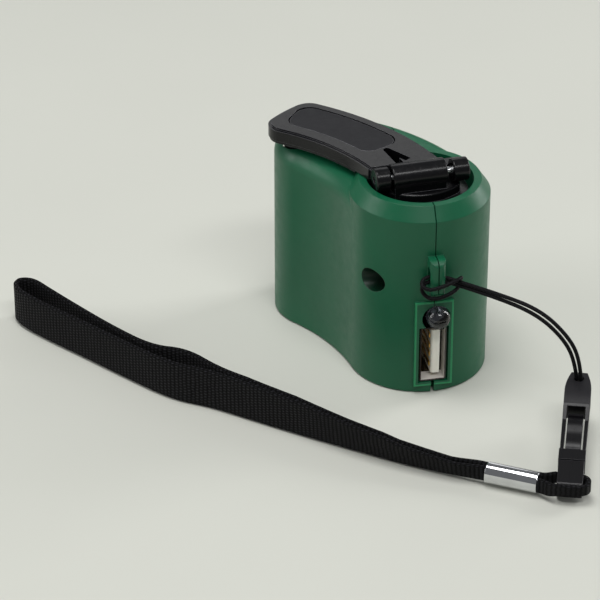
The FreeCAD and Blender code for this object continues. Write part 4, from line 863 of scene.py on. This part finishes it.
class CHARGER_OT_gearing(bpy.types.Operator):
    """Finishes the gears, axles and gear plate inside the case"""

    bl_idname = "charger.gearing"
    bl_label = "Gearing"

    def execute(self, context):
        acetal = plain_moulding("gear_natural_acetal", "#e6e2d6", 0.42)
        finish_nodes(acetal, "drive_gear", "gear_a", "gear_b")
        ground = plated_steel("axle_ground_steel", "#c3c5c8", 0.18)
        finish_nodes(ground, "axle_a", "axle_b", "rotor_shaft")
        finish_nodes(plain_moulding("plate_black_nylon", "#141414", 0.5), "gear_plate")
        finish_nodes(plated_steel("pinion_turned_brass", "#c79f52", 0.28), "rotor_pinion")
        return {"FINISHED"}


class CHARGER_OT_generator(bpy.types.Operator):
    """Finishes the generator's can, cap, winding and magnet"""

    bl_idname = "charger.generator"
    bl_label = "Generator"

    def execute(self, context):
        finish_nodes(plated_steel("can_drawn_steel", "#a9aaab", 0.3), "generator_can")
        finish_nodes(plain_moulding("cap_black_nylon", "#1b1b1c", 0.5), "generator_cap")
        finish_nodes(wound_copper(), "generator_coil")
        ferrite = plain_moulding("magnet_pressed_ferrite", "#2f2d2c", 0.6)
        finish_nodes(ferrite, "rotor_magnet", "choke_coil")
        return {"FINISHED"}


class CHARGER_OT_electronics(bpy.types.Operator):
    """Finishes the board, its components and the USB socket"""

    bl_idname = "charger.electronics"
    bl_label = "Board and socket"

    def execute(self, context):
        finish_nodes(masked_board(), "circuit_board")
        epoxy = plain_moulding("chip_black_epoxy", "#101010", 0.45)
        finish_nodes(epoxy, "regulator_chip", "diodes")
        finish_nodes(plain_moulding("capacitor_shrink_sleeve", "#10142b", 0.25), "capacitor")
        finish_nodes(plated_steel("lead_tinned_copper", "#b9b9b6", 0.3), "led_leads")
        finish_nodes(socket_plate(), "usb_shell")
        white = moulded_plastic("tongue_white_nylon", colours().tongue, 0.42, 0.3, 0.01, 0.05)
        finish_nodes(white, "usb_insulator")
        finish_nodes(plated_steel("contact_gold_flash", "#c9a050", 0.2), "usb_contacts")
        return {"FINISHED"}


class CHARGER_OT_lamp(bpy.types.Operator):
    """Models the clear lamp with its cup and post"""

    bl_idname = "charger.lamp"
    bl_label = "Lamp"

    def execute(self, context):
        low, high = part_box("led_lamp")
        flange = (high.x - low.x) / 2 / MM
        centre = ((low.x + high.x) / 2, high.y, high.z - flange * MM)
        reach = (high.y - low.y) / MM
        flange_step, flange_long, edge = 0.35, 1.0, 0.05
        radius = flange - flange_step
        nose = reach - radius
        turn = np.linspace(0.0, math.pi / 2, 22)
        dome = np.stack([nose + radius * np.sin(turn), radius * np.cos(turn)], axis=1)
        rim = [(0.0, 0.0), (0.0, flange - edge), (edge, flange)]
        rim += [(flange_long - edge, flange), (flange_long, flange - edge)]
        neck = [(flange_long + 0.02, radius + 0.03), (flange_long + 0.1, radius)]
        profile = np.concatenate([np.array(rim + neck + [(nose * 0.5, radius)]), dome])
        epoxy = turned_mesh("lamp_body", profile, centre, lowest=low.z)
        piece("lamp_body", epoxy, "case", clear_epoxy(), ["led_lamp"])
        metal = plated_steel("lamp_frame_silver", "#b8b8ba", 0.2)
        cup = [(0.02, 0.0), (0.02, 0.42), (3.2, 0.42), (3.6, 0.95)]
        cup += [(4.25, 1.05), (3.8, 0.55), (3.75, 0.0)]
        post = [(0.02, 0.0), (0.02, 0.34), (3.9, 0.34), (4.0, 0.24), (4.0, 0.0)]
        for name, shape, above, around in (
            ("lamp_cup", cup, -0.45, 28),
            ("lamp_post", post, 1.1, 20),
        ):
            place = (centre[0], centre[1], centre[2] + above * MM)
            piece(name, turned_mesh(name, shape, place, around), "case", metal)
        return {"FINISHED"}


class CHARGER_OT_lanyard(bpy.types.Operator):
    """Models the hitch on the bail and the two strands of the lanyard cord"""

    bl_idname = "charger.lanyard"
    bl_label = "Lanyard cord"

    def execute(self, context):
        braid = braided_cord()
        diameter = sizes().cord_diameter
        hitch = cord_mesh("lanyard_hitch_braid", flowing_line(HITCH_ROUTE), diameter / 2)
        hitch_piece = piece(
            "lanyard_hitch_braid", hitch, "case", braid, ["lanyard_hitch"]
        )
        for name, route, node in (
            ("cord_upper_braid", UPPER_ROUTE, "cord_upper"),
            ("cord_lower_braid", LOWER_ROUTE, "cord_lower"),
        ):
            line = flowing_line(route)
            strand = piece(
                name, cord_mesh(name, line, diameter / 2), "case", braid, [node]
            )
        return {"FINISHED"}


class CHARGER_OT_buckle(bpy.types.Operator):
    """Finishes the buckle's socket and catch"""

    bl_idname = "charger.buckle"
    bl_label = "Buckle"

    def execute(self, context):
        finish_nodes(buckle_acetal(), "buckle_socket", "buckle_catch")
        return {"FINISHED"}


def along_strap(*pairs):
    """A function of x that runs straight from each (x, value) pair to the next."""
    xs = np.array([pair[0] for pair in pairs], float)
    values = np.array([pair[1] for pair in pairs], float)
    return lambda x: np.interp(x, xs, values)


class CHARGER_OT_strap(bpy.types.Operator):
    """Models the webbing, its short loop through the catch, and the crimp"""

    bl_idname = "charger.strap"
    bl_label = "Wrist strap"

    def execute(self, context):
        webbing = woven_webbing()
        wide = [(-40, 9.4), (-28, 8.4), (-15, 7.2), (-7.5, 5.3), (-1.6, 3.9), (3.0, 3.4)]
        tips = [(-48, 0), (-31, 4), (-21, 14), (-12, 20), (-3, 20), (1.6, 4), (3.0, 0)]
        width, lean = along_strap(*wide), along_strap(*tips)
        low = along_strap((-12, 0.12), (1.6, 1.0))
        loop, length = webbing_mesh("loop", STRAP_ROUTE, low, width, lean)
        end_width = along_strap((8.0, 3.6), (13.0, 3.2), (16.0, 2.3))
        end_low = along_strap((8.0, 0.75), (13.0, 1.2), (15.5, 2.3))
        upright = along_strap((0.0, 0.0), (20.0, 0.0))
        end, end_length = webbing_mesh("end", STRAP_END_ROUTE, end_low, end_width, upright)
        mesh = joined_mesh("strap_webbing", loop, end)
        strap = piece("strap_webbing", mesh, "strap", webbing, ["wrist_strap"])
        chrome = plated_steel("crimp_chrome_plate", "#d6d7d9", 0.06, 0.8)
        sleeve = ["crimp_sleeve"]
        crimp = piece("crimp_folded", crimp_mesh(), "strap", chrome, sleeve)
        return {"FINISHED"}


# Stage. The camera stands where the photograph's did, worked out from the case's own corners.
CAMERA_AZIMUTH = math.radians(-11.453)
CAMERA_ELEVATION = math.radians(30.722)
CAMERA_DISTANCE = 0.66858
CAMERA_RIGHT = -0.025172
CAMERA_UP = 0.012121
CAMERA_LENS = 184.83
# The lamps: name, place, aim, width, height and power.
LAMPS = (
    ("top_box", (-0.12, -0.02, 0.85), (-0.01, 0.0, 0.02), 0.45, 0.3, 3.4),
    ("left_box", (-0.7, 0.12, 0.32), (-0.01, 0.0, 0.02), 0.35, 0.5, 1.7),
    ("right_box", (0.66, 0.2, 0.3), (0.0, 0.0, 0.02), 0.22, 0.5, 2.4),
    ("front_box", (0.05, -0.5, 0.75), (-0.01, 0.0, 0.02), 0.5, 0.12, 2.2),
    ("back_box", (-0.1, 0.8, 0.5), (-0.01, 0.0, 0.02), 0.8, 0.35, 0.7),
)
FLOOR_REACH = 3.0


def camera_axes():
    """The camera's right, up and backward directions."""
    a, e = CAMERA_AZIMUTH, CAMERA_ELEVATION
    right = Vector((math.cos(a), math.sin(a), 0.0))
    back = Vector((math.sin(a) * math.cos(e), -math.cos(a) * math.cos(e), math.sin(e)))
    return right, back.cross(right), back


def soft_light(name, place, target, wide, tall, power):
    """A rectangular area lamp that faces its target."""
    light = bpy.data.lights.new(name, "AREA")
    light.shape = "RECTANGLE"
    light.size = wide
    light.size_y = tall
    light.energy = power
    holder = bpy.data.objects.new(name, light)
    bpy.context.scene.collection.objects.link(holder)
    holder.location = place
    towards = Vector(target) - Vector(place)
    holder.rotation_euler = towards.to_track_quat("-Z", "Y").to_euler()


def floor_paper():
    """Matt studio paper, very faintly uneven in tone."""
    made, _, shader, where = object_material("floor_paper")
    colour = colours().floor
    tints = [(0.3, shade(colour, 0.99)), (0.7, shade(colour, 1.01))]
    wander(shader, "Base Color", where, 60.0, 2.0, 0.5, tints)
    feed(shader, {"Roughness": 0.9})
    return made


class CHARGER_OT_stage(bpy.types.Operator):
    """Sets the floor, the lights, the world and the camera"""

    bl_idname = "charger.stage"
    bl_label = "Stage"

    def execute(self, context):
        scene = context.scene
        scene.view_settings.view_transform = "Standard"
        right, up, back = camera_axes()
        lens = bpy.data.cameras.new("photo_camera")
        lens.sensor_width = 36.0
        lens.lens = CAMERA_LENS
        lens.clip_start = 0.01
        camera = bpy.data.objects.new("photo_camera", lens)
        scene.collection.objects.link(camera)
        frame = Matrix((right, up, back)).transposed().to_4x4()
        frame.translation = back * CAMERA_DISTANCE + right * CAMERA_RIGHT + up * CAMERA_UP
        camera.matrix_world = frame
        scene.camera = camera

        floor_mesh = bpy.data.meshes.new("floor")
        signs = ((-1, -1), (1, -1), (1, 1), (-1, 1))
        corners = [(x * FLOOR_REACH, y * FLOOR_REACH, 0) for x, y in signs]
        floor_mesh.from_pydata(corners, [], [(0, 1, 2, 3)])
        floor = bpy.data.objects.new("floor", floor_mesh)
        scene.collection.objects.link(floor)
        floor_mesh.materials.append(floor_paper())

        world = bpy.data.worlds.new("studio")
        scene.world = world
        world.use_nodes = True
        background = world.node_tree.nodes["Background"]
        background.inputs["Color"].default_value = linear("#eef1f4")
        background.inputs["Strength"].default_value = 0.2
        for lamp in LAMPS:
            soft_light(*lamp)
        return {"FINISHED"}


class CHARGER_PT_panel(bpy.types.Panel):
    bl_idname = "CHARGER_PT_panel"
    bl_label = "Hand crank charger"
    bl_space_type = "VIEW_3D"
    bl_region_type = "UI"
    bl_category = "Charger"

    def draw(self, context):
        layout = self.layout
        for group in (context.scene.charger_sizes, context.scene.charger_colours):
            box = layout.box()
            for name in group.__annotations__:
                box.prop(group, name)
        for operator in PIECES:
            layout.operator(operator.bl_idname)


PIECES = (
    CHARGER_OT_case,
    CHARGER_OT_crank,
    CHARGER_OT_gearing,
    CHARGER_OT_generator,
    CHARGER_OT_electronics,
    CHARGER_OT_lamp,
    CHARGER_OT_lanyard,
    CHARGER_OT_buckle,
    CHARGER_OT_strap,
    CHARGER_OT_stage,
)
CLASSES = (ChargerColours, ChargerSizes, *PIECES, CHARGER_PT_panel)


def register():
    for cls in CLASSES:
        bpy.utils.register_class(cls)
    bpy.types.Scene.charger_colours = bpy.props.PointerProperty(type=ChargerColours)
    bpy.types.Scene.charger_sizes = bpy.props.PointerProperty(type=ChargerSizes)


def unregister():
    del bpy.types.Scene.charger_sizes
    del bpy.types.Scene.charger_colours
    for cls in reversed(CLASSES):
        bpy.utils.unregister_class(cls)


def main():
    register()
    for operator in PIECES:
        group, name = operator.bl_idname.split(".")
        getattr(getattr(bpy.ops, group), name)()


if __name__ == "__main__":
    main()
